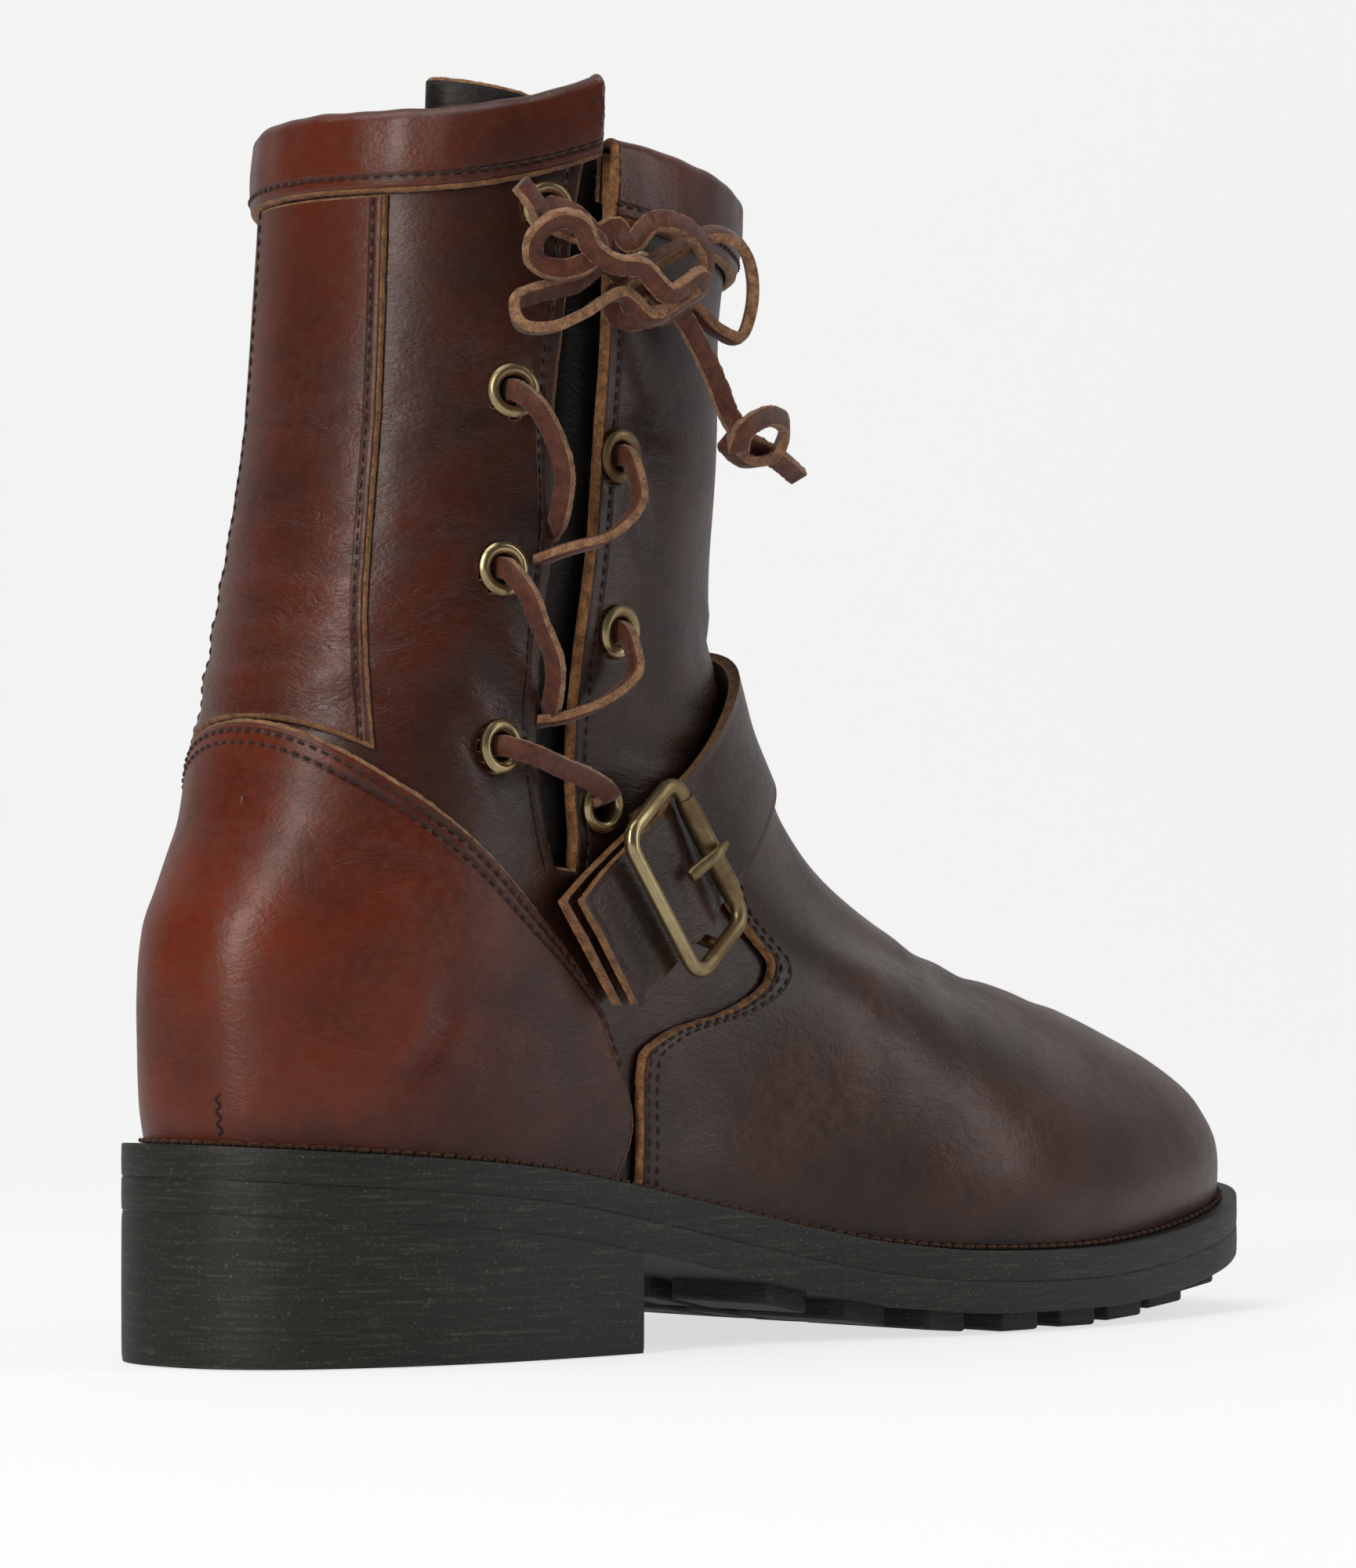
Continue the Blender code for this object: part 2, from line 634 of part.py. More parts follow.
def upper_grid():
    """Loop numbers and turns of the upper's cells; two columns follow the slit's edges."""
    low_count = max(int(round(slit_row() / FOOT_ROW_STEP)), 4)
    middle = slit_row() + 2
    high = np.concatenate([np.arange(slit_row(), middle, FOOT_ROW_STEP)[1:],
                           np.linspace(middle, TOP_ROW, int((TOP_ROW - middle) / SHAFT_ROW_STEP) + 2)])
    rows = np.concatenate([np.linspace(0, slit_row(), low_count + 1), high])
    rear, front = slit_shares(rows)
    before = LOOP_STEPS // 5
    after = LOOP_STEPS - before - 1
    turns = []
    for a, b in zip(turn_at(rear), turn_at(front)):
        first = np.linspace(0, a, before + 1)
        second = np.linspace(b, 2 * math.pi, after + 1)[:-1]
        turns.append(np.concatenate([first, second]))
    turns = np.array(turns)
    return np.repeat(rows[:, None], turns.shape[1], axis=1), turns, low_count, before


def make_upper():
    rows, turns, first_open, rear_edge = upper_grid()
    holes = {(i, rear_edge) for i in range(first_open, rows.shape[0] - 1)}
    outer, inner = on_upper(rows, turns), on_upper(rows, turns, -WALL)
    for grid in (outer, inner):
        grid[0, :, 2] = sole_top(grid[0, :, 1]) + GAP
    upper = shell("upper", outer, inner, "leather", closed=True, holes=holes)
    cutters = [eyelet_cutter(index, place) for index, place in enumerate(eyelet_places())]
    for cutter in cutters:
        cut = upper.modifiers.new(cutter.name, "BOOLEAN")
        cut.operation = "DIFFERENCE"
        cut.solver = "EXACT"
        cut.object = cutter
    bake(upper)
    for cutter in cutters:
        bpy.data.objects.remove(cutter, do_unlink=True)
    return upper


def make_counter():
    across = np.linspace(-1, 1, 2 * PANEL_STEPS + 1)
    up = np.linspace(0, 1, 13)
    places = np.abs(across) ** 0.9 * COUNTER_EDGE[-1][0]
    heights = height_of(smooth(COUNTER_EDGE, places))
    edge_y = np.maximum(places * LENGTH, 0)
    top_row, top_share = row_of_side_view(edge_y, heights)
    back_rows = np.linspace(0, TOP_ROW, 300)
    back_row = np.interp(height_of(COUNTER_EDGE[0][1]), height_of(loop_value("back_z", back_rows)),
                         back_rows)
    top_turn = turn_at(top_share)
    near_back = np.abs(across) < COUNTER_BACK
    to_side = np.abs(across) / COUNTER_BACK
    top_turn = np.where(near_back, to_side * top_turn[~near_back].min(), top_turn)
    joined = top_row[~near_back].max()
    top_row = np.where(near_back, back_row + (joined - back_row) * to_side ** 2, top_row)
    foot_turn = turn_at(np.full(across.shape, front_share(0.0, COUNTER_FRONT))) * np.abs(across)
    rows = up[:, None] * top_row[None, :]
    turns = foot_turn[None, :] + (top_turn - foot_turn)[None, :] * up[:, None]
    turns += COUNTER_BULGE * np.sin(math.pi * up)[:, None] * (np.abs(across) ** 6)[None, :]
    rows = np.maximum(rows, 0.03)
    return panel("counter", rows, np.sign(across)[None, :] * turns, 1.6 * GAP, 1.6 * GAP + PANEL,
                 "leather")


def front_share(row, place):
    """Share of a loop at a place along the foot."""
    back, front = loop_value("back_y", row) * LENGTH, loop_value("front_y", row) * LENGTH
    return float(np.clip((place * LENGTH - back) / (front - back), 0, 1))


def make_vamp():
    """The vamp keeps the upper's own rows and columns, so that their facets lie alike; each row
    starts and ends on the vamp's rear edge."""
    rows, turns, _, _ = upper_grid()
    keep = rows[:, 0] < VAMP_EDGE[-1][0]
    rows, turns = np.maximum(rows[keep], 0.03), turns[keep]
    start = turn_at(smooth(VAMP_EDGE, rows[:, :1]))
    turns = np.clip(turns, start, 2 * math.pi - start)
    points, faces = [], []
    for out in (1.6 * GAP + PANEL, 1.6 * GAP):
        faces += sheet_faces(*rows.shape, False, len(points), ())
        points += list(on_upper(rows, turns, out).reshape(-1, 3))
    kept, faces = weld(points, faces)
    half = len(faces) // 2
    uses = {(a, b) for face in faces[:half] for a, b in zip(face, face[1:] + face[:1])}
    partner = {faces[k][i]: faces[k + half][i] for k in range(half) for i in range(len(faces[k]))}
    rim = [[b, a, partner[a], partner[b]] for a, b in uses if (b, a) not in uses]
    faces = faces[:half] + [face[::-1] for face in faces[half:]] + rim
    return solid("vamp", kept, faces, "leather")


def make_backstay():
    top = float(row_below_rim(CUFF_DEPTH + 2 * GAP, 0.0)[0])
    back_rows = np.linspace(0, TOP_ROW, 300)
    low = np.interp(height_of(COUNTER_EDGE[0][1]) + 0.0006,
                    height_of(loop_value("back_z", back_rows)), back_rows)
    rise = np.linspace(0, 1, 9)
    across = np.linspace(-1, 1, 9)
    rows, turns = [], []
    for r in rise:
        half = (BACKSTAY_WIDTH + BACKSTAY_SPREAD * (1 - r) ** 2.2) / 2
        row = low + (top - low) * r
        fine = np.linspace(0, math.pi / 2, 200)
        arc = loop_point(row, fine)
        length = np.concatenate([[0], np.cumsum(np.linalg.norm(np.diff(arc, axis=0), axis=1))])
        edge = np.interp(half, length, fine)
        row_line = row - (1 - r) * 0.42 * across ** 2
        rows.append(row_line)
        turns.append(across * edge)
    return panel("backstay", np.array(rows), np.array(turns), GAP, GAP + BACKSTAY_LEATHER, "leather")


def row_below_rim(down, turns):
    """Loop number at a distance down from the rim."""
    rows = np.linspace(TOP_ROW - 3, TOP_ROW, 13)
    found = []
    for turn in np.atleast_1d(turns):
        line = on_upper(rows, turn)
        fall = np.linalg.norm(np.diff(line, axis=0), axis=1)[::-1].cumsum()
        found.append(np.interp(down, np.concatenate([[0], fall]), rows[::-1]))
    return np.array(found)


def rim_path(out, down, turns):
    """Line round the rim at a distance out from the upper and down from its edge."""
    if down > 0:
        return on_upper(row_below_rim(down, turns), turns, out)
    rise = on_upper(TOP_ROW, turns) - on_upper(TOP_ROW - 0.9, turns)
    rise /= np.linalg.norm(rise, axis=-1, keepdims=True)
    return on_upper(TOP_ROW, turns, out) - rise * down


def make_cuff():
    """Leather folded over the rim: down the outside, round the top and a little way inside."""
    rear, front = slit_shares(float(TOP_ROW))
    turns = np.linspace(float(turn_at(front)), 2 * math.pi + float(turn_at(rear)), 36)
    inside = -(WALL + GAP)
    middle, reach = (GAP + inside) / 2, (GAP - inside) / 2
    arc = np.linspace(0, math.pi, 6)
    rings = []
    for thick in (CUFF_LEATHER, 0.0):
        profile = [(GAP + thick, CUFF_DEPTH), (GAP + thick, CUFF_DEPTH * 0.5)]
        profile += [(middle + (reach + thick) * math.cos(a), -GAP - (reach * 0.6 + thick) * math.sin(a))
                    for a in arc]
        profile += [(inside - thick, CUFF_TURN_IN)]
        rings.append(np.array([rim_path(out, down, turns) for out, down in profile]))
    return shell("cuff", rings[0], rings[1], "leather")


# Gusset

def make_gusset():
    """Pleat behind the slit: from the front flap back to a fold, and forward to the rear flap."""
    near, far = WALL + 4 * GAP + GUSSET_LEATHER / 2, WALL + GUSSET_DEPTH
    plan = [(0.545, near), (0.47, near + 0.0004), (0.40, near + 0.0012), (0.33, near + 0.0050),
            (0.25, near + 0.0085), (0.17, far), (0.10, far - 0.001), (0.075, far - 0.004),
            (0.10, near + 0.0030), (0.17, near + 0.0010), (0.24, near + 0.0002), (0.285, near)]
    plan_steps = np.linspace(0, len(plan) - 1, 23)
    numbered = [(i, share, depth) for i, (share, depth) in enumerate(plan)]
    shares, depths = smooth(numbered, plan_steps, 1), smooth(numbered, plan_steps, 2)
    low = slit_row() - 0.5
    heights = np.linspace(0, 1, 8)
    lines = []
    for h in heights:
        row = low + (TOP_ROW - low) * h
        inward = depths + (CUFF_LEATHER + GAP) * h ** 2
        line = on_upper(np.full(len(shares), row), turn_at(shares), -inward)
        line[:, 2] -= rim_lift(row, turn_at(shares))
        line[:, 2] += h ** 6 * GUSSET_RISE * np.clip(plan_steps / 5, 0.3, 1.0)
        lines.append(line)
    middle = np.array(lines)
    tangent = np.gradient(middle, axis=1)
    side = np.stack([tangent[..., 1], -tangent[..., 0], 0 * tangent[..., 0]], axis=-1)
    side /= np.linalg.norm(side, axis=-1, keepdims=True)
    half = side * GUSSET_LEATHER / 2
    return shell("gusset", middle + half, middle - half, "gusset_leather")


# Eyelets

def eyelet_places():
    """Centre on the upper's outer face and outward direction of each eyelet."""
    spots = []
    for (drop, first_share), column in ((FIRST_REAR, EYELETS_REAR), (FIRST_FRONT, EYELETS_FRONT)):
        turn = float(turn_at(first_share))
        spots.append((float(row_below_rim(CUFF_DEPTH + drop + EYELET_FLANGE / 2, turn)[0]), turn))
        for height, share in column:
            row = float(row_at_height(np.array(share), float(height_of(height))))
            spots.append((row, float(turn_at(share))))
    places = []
    for row, turn in spots:
        centre = on_upper(row, turn)
        outwards = on_upper(row, turn, 0.001) - centre
        places.append((Vector(centre), Vector(outwards).normalized()))
    return places


def turned(name, profile, centre, axis, finish, steps=EYELET_STEPS):
    """Ring turned about an axis from a closed profile of radius and height."""
    spin = axis.to_track_quat("Z", "Y").to_matrix()
    points, faces = [], []
    for i in range(steps):
        angle = 2 * math.pi * i / steps
        for radius, height in profile:
            points.append(centre + spin @ Vector((radius * math.cos(angle), radius * math.sin(angle),
                                                  height)))
    count = len(profile)
    for i in range(steps):
        j = (i + 1) % steps
        for k in range(count):
            m = (k + 1) % count
            faces.append([i * count + k, j * count + k, j * count + m, i * count + m])
    return solid(name, points, faces, finish)


def eyelet_cutter(index, place):
    centre, axis = place
    radius, reach = EYELET_CUT / 2, 3 * WALL
    spin = axis.to_track_quat("Z", "Y").to_matrix()
    points, steps = [], 12
    for height in (-reach, reach):
        points += [centre + spin @ Vector((radius * math.cos(2 * math.pi * i / steps),
                                           radius * math.sin(2 * math.pi * i / steps), height))
                   for i in range(steps)]
    faces = [list(range(steps))[::-1], list(range(steps, 2 * steps))]
    faces += [[i, (i + 1) % steps, (i + 1) % steps + steps, i + steps] for i in range(steps)]
    cutter = solid(f"cutter_{index}", points, faces, "brass")
    cutter.hide_render = True
    cutter.display_type = "WIRE"
    return cutter


def make_eyelets():
    hole, barrel, flange = EYELET_HOLE / 2, EYELET_BARREL / 2, EYELET_FLANGE / 2
    base = 2.4 * GAP
    profile = [(hole, -WALL), (barrel, -WALL), (barrel, base), (flange, base),
               ((flange + hole) / 2, base + EYELET_LIP), (hole, base + EYELET_LIP * 0.6)]
    for index, (centre, axis) in enumerate(eyelet_places()):
        side, number = ("rear", index + 1) if index < 4 else ("front", index - 3)
        turned(f"eyelet_{side}_{number}", profile, centre, axis, "brass")


# Strap and buckle

def strap_point(place, across, out):
    """Point over the upper on the strap's course. place is 0 at the outer seam, 1 at the inner;
    across is measured from the strap's middle line."""
    slope_y, slope_z = math.cos(STRAP_SLOPE), math.sin(STRAP_SLOPE)
    foot_y = STRAP_FOOT[0] * LENGTH - slope_z * across
    foot_z = float(height_of(STRAP_FOOT[1])) + slope_y * across
    reach = np.linspace(0, 0.2, 400)
    ys, zs = foot_y + reach * slope_y, foot_z + reach * slope_z
    inside = ys < front_profile(zs)
    end = reach[inside].max()
    angle = math.pi * np.asarray(place)
    run = end * np.sin(angle)
    row, share = row_of_side_view(foot_y + run * slope_y, foot_z + run * slope_z)
    turn = turn_at(share)
    turn = np.where(np.asarray(place) > 0.5, -turn, turn)
    turn = np.where(np.abs(np.asarray(place) - 0.5) < 1e-9, math.pi, turn)
    return on_upper(row, turn, out)


def strap_lift(place):
    return smooth(STRAP_LIFT, place) * STRAP_LEATHER


def make_strap():
    places = np.concatenate([np.linspace(0.012, 0.24, 15), np.linspace(0.27, 0.975, 26)])
    base = PANEL + 3.0 * GAP
    rings = []
    for thick in (STRAP_LEATHER, 0.0):
        lines = [strap_point(places, across * STRAP_WIDTH / 2, base + strap_lift(places) + thick)
                 for across in (-1, 0, 1)]
        rings.append(np.array(lines))
    return shell("strap", rings[0], rings[1], "leather")


def make_chape():
    places = np.linspace(0.012, CHAPE_END, 6)
    base = PANEL + 3.0 * GAP
    rings = []
    for thick in (CHAPE_LEATHER, 0.0):
        lines = [strap_point(places, across * STRAP_WIDTH / 2, base + thick)
                 for across in (-1, 0, 1)]
        rings.append(np.array(lines))
    return shell("chape", rings[0], rings[1], "leather")


def buckle_frame_axes():
    """Middle of the buckle on the upper, its directions along and across the strap, and out."""
    centre = strap_point(BUCKLE_PLACE, 0.0, 0.0)
    step, aside = BUCKLE_PLACE / 11, BUCKLE_WIDTH / 6
    along = strap_point(BUCKLE_PLACE + step, 0.0, 0.0) - strap_point(BUCKLE_PLACE - step, 0.0, 0.0)
    across = strap_point(BUCKLE_PLACE, aside, 0.0) - strap_point(BUCKLE_PLACE, -aside, 0.0)
    out = Vector(np.cross(across, along)).normalized()
    if out.x < 0:
        out = -out
    along = Vector(along).normalized()
    return Vector(centre), along, out.cross(along).normalized(), out


def rod(name, path, radius, finish, closed=False, sides=8):
    """Round rod along a path, capped unless it is closed."""
    path = np.asarray(path, float)
    if closed:
        tangent = np.roll(path, -1, axis=0) - np.roll(path, 1, axis=0)
    else:
        tangent = np.gradient(path, axis=0)
    tangent /= np.linalg.norm(tangent, axis=1, keepdims=True)
    guide = Vector((0.31, 0.57, 0.76))
    points = []
    for p, t in zip(path, tangent):
        t = Vector(t)
        guide = (guide - t * guide.dot(t)).normalized()
        other = t.cross(guide)
        points += [Vector(p) + (guide * math.cos(2 * math.pi * k / sides)
                                + other * math.sin(2 * math.pi * k / sides)) * radius
                   for k in range(sides)]
    count = len(path)
    faces = [[i * sides + k, i * sides + (k + 1) % sides,
              (i + 1) % count * sides + (k + 1) % sides, (i + 1) % count * sides + k]
             for i in range(count if closed else count - 1) for k in range(sides)]
    if not closed:
        faces += [list(range(sides))[::-1], [(count - 1) * sides + k for k in range(sides)]]
    return solid(name, points, faces, finish)


def make_buckle():
    centre, along, across, out = buckle_frame_axes()
    low = PANEL + 3.0 * GAP + STRAP_LEATHER + GAP + BUCKLE_WIRE / 2 + 0.0012
    high = PANEL + 3.0 * GAP + CHAPE_LEATHER + STRAP_LEATHER + 3 * GAP + BUCKLE_WIRE / 2 + 0.0014
    half_l, half_w = BUCKLE_LENGTH / 2, BUCKLE_WIDTH / 2
    path = []
    for sx, sy, first in ((1, 1, 0), (-1, 1, 1), (-1, -1, 2), (1, -1, 3)):
        for step in range(4):
            angle = math.pi / 2 * (first + step / 3)
            u = sx * (half_l - BUCKLE_CORNER) + BUCKLE_CORNER * math.cos(angle)
            v = sy * (half_w - BUCKLE_CORNER) + BUCKLE_CORNER * math.sin(angle)
            lift = high + (low - high) * (u + half_l) / (2 * half_l)
            path.append(centre + along * u + across * v + out * lift)
    frame = rod("buckle_frame", path, BUCKLE_WIRE / 2, "brass", closed=True, sides=8)
    bar_lift = PANEL + 3.0 * GAP + BUCKLE_BAR / 2 + 0.0006
    middle_lift = (low + high) / 2
    ends = []
    for share in (-1.0, -0.86, -0.8, 0.8, 0.86, 1.0):
        lift = middle_lift if abs(share) > 0.9 else bar_lift
        ends.append(centre + across * half_w * share + out * lift)
    bar = rod("buckle_bar", ends, BUCKLE_BAR / 2, "brass")
    union(frame, [bar])
    prong_top = low + BUCKLE_WIRE / 2 + PRONG_WIRE / 2 + GAP
    strap_top = PANEL + 3.0 * GAP + float(strap_lift(BUCKLE_PLACE)) + STRAP_LEATHER
    rest = strap_top + PRONG_WIRE / 2 + 3 * GAP
    prong = [centre + along * u + out * lift for u, lift in (
        (0.0005, rest + 0.0004), (half_l * 0.5, max(rest, prong_top)),
        (half_l * 0.8, prong_top + 0.0003), (half_l + BUCKLE_WIRE * 0.6, prong_top))]
    rod("buckle_prong", prong, PRONG_WIRE / 2, "brass")


# Laces

def over(height, share, out):
    """Point over the upper's outer side by height share and loop share."""
    row = float(row_at_height(np.array(share), float(height_of(height))))
    return on_upper(row, float(turn_at(share)), out)


# Crossings: rear arc and front arc of each pair, as height share, loop share, distance out.
CROSSINGS = {
    2: ([(1.515, 0.262, 0.0032), (1.47, 0.285, 0.0052), (1.39, 0.322, 0.0050), (1.30, 0.348, 0.0024)],
        [(1.425, 0.455, 0.0034), (1.37, 0.440, 0.0052), (1.32, 0.400, 0.0042), (1.29, 0.335, 0.0024)]),
    3: ([(1.214, 0.274, 0.0032), (1.15, 0.300, 0.0052), (1.08, 0.340, 0.0050), (1.00, 0.362, 0.0024)],
        [(1.120, 0.480, 0.0034), (1.06, 0.462, 0.0052), (1.01, 0.420, 0.0040), (0.985, 0.350, 0.0024)]),
    4: ([(0.925, 0.296, 0.0034), (0.905, 0.350, 0.0040), (0.885, 0.410, 0.0044), (0.865, 0.468, 0.0036)],),
}


def make_crossings():
    for number, arcs in CROSSINGS.items():
        made = []
        for index, arc in enumerate(arcs):
            path = curve_through([over(*p) for p in arc], 9)
            up = np.tile(on_upper(11.0, turn_at(0.37), 1.0) - on_upper(11.0, turn_at(0.37)), (9, 1))
            made.append(strip(f"lace_cross_{number}" if index == 0 else f"arc_{number}_{index}",
                              path, up, LACE_WIDTH, LACE_THICK, "lace_leather"))
        if len(made) > 1:
            union(made[0], made[1:])


# Bow: routes as points on or over the outer side, by height share, loop share, distance out. KNOT
# stands for an end that meets the knot.
KNOT = None
KNOT_CENTRE = (1.735, 0.518, 0.0058)
KNOT_FORM = (0.62, 1.0, 0.95)
BOW = {
    "lace_lead_rear": [(1.803, 0.305, 0.0033), (1.790, 0.350, 0.0052), (1.765, 0.430, 0.0062), KNOT],
    "lace_loop_low": [KNOT, (1.715, 0.465, 0.0085), (1.690, 0.375, 0.0125), (1.655, 0.290, 0.0135),
                      (1.635, 0.262, 0.0090), (1.655, 0.300, 0.0052), (1.680, 0.380, 0.0042),
                      (1.698, 0.455, 0.0050), KNOT],
    "lace_loop_front": [KNOT, (1.775, 0.570, 0.0085), (1.800, 0.605, 0.0110), (1.775, 0.645, 0.0125),
                        (1.690, 0.668, 0.0125), (1.590, 0.655, 0.0110), (1.620, 0.610, 0.0075),
                        (1.690, 0.575, 0.0060), KNOT],
    "lace_end_rear": [KNOT, (1.770, 0.470, 0.0110), (1.785, 0.400, 0.0140), (1.800, 0.320, 0.0150),
                      (1.835, 0.250, 0.0130), (1.875, 0.215, 0.0100)],
    "lace_end_front": [KNOT, (1.660, 0.540, 0.0105), (1.600, 0.565, 0.0120), (1.520, 0.595, 0.0125),
                       (1.455, 0.630, 0.0135), (1.410, 0.690, 0.0160), (1.385, 0.755, 0.0180)],
}


def bow_route(route):
    """Points of a route; an end at the knot lies on the knot's side, towards the next point."""
    points = [None if stop is KNOT else over(*stop) for stop in route]
    centre = over(*KNOT_CENTRE)
    half = KNOT_WIDTH / 2 * np.array(KNOT_FORM)
    for end, beside in ((0, 1), (-1, -2)):
        if points[end] is None:
            way = points[beside] - centre
            way /= np.linalg.norm(way)
            points[end] = centre + way * (1 / np.linalg.norm(way / half) + 2 * GAP)
    return points


def make_bow():
    centre = Vector(over(*KNOT_CENTRE)) - ORIGIN
    knot = bpy.data.meshes.new("lace_knot")
    work = bmesh.new()
    bmesh.ops.create_icosphere(work, subdivisions=2, radius=KNOT_WIDTH / 2)
    bmesh.ops.scale(work, vec=KNOT_FORM, verts=work.verts)
    bmesh.ops.translate(work, vec=centre, verts=work.verts)
    work.to_mesh(knot)
    work.free()
    knot.shade_smooth()
    add_object("lace_knot", knot, "lace_leather")
    for name, route in BOW.items():
        path = curve_through(bow_route(route), CORD_STEPS)
        line = bpy.data.curves.new(name, "CURVE")
        line.dimensions = "3D"
        line.bevel_depth = LACE_ROUND / 2
        line.bevel_resolution = 2
        line.use_fill_caps = True
        spline = line.splines.new("POLY")
        spline.points.add(len(path) - 1)
        for place, p in zip(spline.points, path):
            place.co = (*(Vector(p) - ORIGIN), 1)
        line.materials.append(material("lace_leather"))
        tube = bpy.data.objects.new(name, line)
        bpy.context.collection.objects.link(tube)


def main():
    for old in list(bpy.data.objects):
        bpy.data.objects.remove(old, do_unlink=True)
    make_heel()
    make_outsole()
    make_midsole()
    make_insole()
    make_upper()
    make_counter()
    make_vamp()
    make_backstay()
    make_cuff()
    make_gusset()
    make_eyelets()
    make_chape()
    make_strap()
    make_buckle()
    make_crossings()
    make_bow()


main()
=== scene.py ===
# %% [markdown]
# An engineer boot for the right foot. On the real boot every panel is cut flat, then pulled over a
# last, so all of them follow one form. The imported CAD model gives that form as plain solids. This
# script dresses it: it works out the same form again with many more points, so that leather can
# crease, wear and be stitched.

# %% Frame
import math
from collections import namedtuple

import bpy
import numpy as np
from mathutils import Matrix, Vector


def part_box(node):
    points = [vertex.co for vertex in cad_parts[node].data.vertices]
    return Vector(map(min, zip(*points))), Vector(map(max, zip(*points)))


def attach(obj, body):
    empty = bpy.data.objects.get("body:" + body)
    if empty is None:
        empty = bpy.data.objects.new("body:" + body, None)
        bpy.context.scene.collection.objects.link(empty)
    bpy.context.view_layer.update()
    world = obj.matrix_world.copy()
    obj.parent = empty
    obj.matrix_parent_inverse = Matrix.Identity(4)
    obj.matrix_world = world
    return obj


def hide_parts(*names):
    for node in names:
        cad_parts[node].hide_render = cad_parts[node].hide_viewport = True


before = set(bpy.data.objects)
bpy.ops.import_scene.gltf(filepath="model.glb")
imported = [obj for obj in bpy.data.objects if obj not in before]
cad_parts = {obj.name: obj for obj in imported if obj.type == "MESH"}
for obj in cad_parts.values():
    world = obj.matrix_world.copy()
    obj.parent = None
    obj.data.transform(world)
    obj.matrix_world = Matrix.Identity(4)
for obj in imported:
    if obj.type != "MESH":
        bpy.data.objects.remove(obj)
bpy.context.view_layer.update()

MM = 0.001

# %% [markdown]
# The sizes are those of the CAD model, in metres, with +Y to the toe and +X to the outer side of
# the foot. Only the lace is flatter here, and the stitches are new. The form is a stack of loops: a
# table gives a few sections, and smooth curves run through them. A table of a few rows is easier to
# read and to correct than a sculpted mesh.

# %% Named sizes
LENGTH = 0.298
BALL_WIDTH = 0.108
HEEL_LENGTH = 0.0895
HEEL_HEIGHT = 0.042
FORE_HEIGHT = 0.0165
TOE_RISE = 0.0105
MIDSOLE = 0.0063
OUTSOLE = 0.0062
LUG_HEIGHT = 0.004
LUG_LENGTH = 0.0115
LUG_GAP = 0.0080
LUG_CHANNEL = 0.010
EDGE_MARGIN = 0.0045
OVERHANG = 0.0066
INSTEP_HEIGHT = 0.125
RIM_HEIGHT = 0.236
WALL = 0.0024
PANEL = 0.0018
GAP = 0.0003
REAR_FLAP_RISE = 0.0130
FRONT_FLAP_RISE = 0.001
SLIT_BOTTOM = 0.094
CUFF_DEPTH = 0.0128
CUFF_TURN_IN = 0.0090
CUFF_LEATHER = 0.0020
CUFF_SEAM_DOWN = 0.0098
BACKSTAY_WIDTH = 0.037
BACKSTAY_SPREAD = 0.018
BACKSTAY_LEATHER = 0.0015
GUSSET_LEATHER = 0.0016
GUSSET_RISE = 0.012
GUSSET_DEPTH = 0.0125
EYELET_HOLE = 0.0060
EYELET_BARREL = 0.0070
EYELET_FLANGE = 0.0104
EYELET_LIP = 0.0010
STRAP_WIDTH = 0.025
STRAP_LEATHER = 0.0026
CHAPE_LEATHER = 0.0034
BUCKLE_WIRE = 0.0034
BUCKLE_BAR = 0.0026
BUCKLE_LENGTH = 0.0195
BUCKLE_WIDTH = 0.0335
BUCKLE_CORNER = 0.0040
PRONG_WIRE = 0.0022
LACE_WIDTH = 0.0040
LACE_THICK = 0.0021
INSOLE = 0.004
STITCH_PITCH = 0.0026
STITCH_THREAD = 0.00034
FINE_THREAD = 0.00026
WELT_PITCH = 0.0030
WELT_THREAD = 0.00042
PANEL_SEAM_INSETS = (0.0022, 0.0046)
FLAP_SEAM_INSET = 0.0034
BACKSTAY_SEAM_INSET = 0.0024
ORIGIN = np.array([0.0, HEEL_LENGTH / 2, 0.0])
print("sole", LENGTH, "m long, ball", BALL_WIDTH, "m wide, heel", HEEL_HEIGHT, "m high")

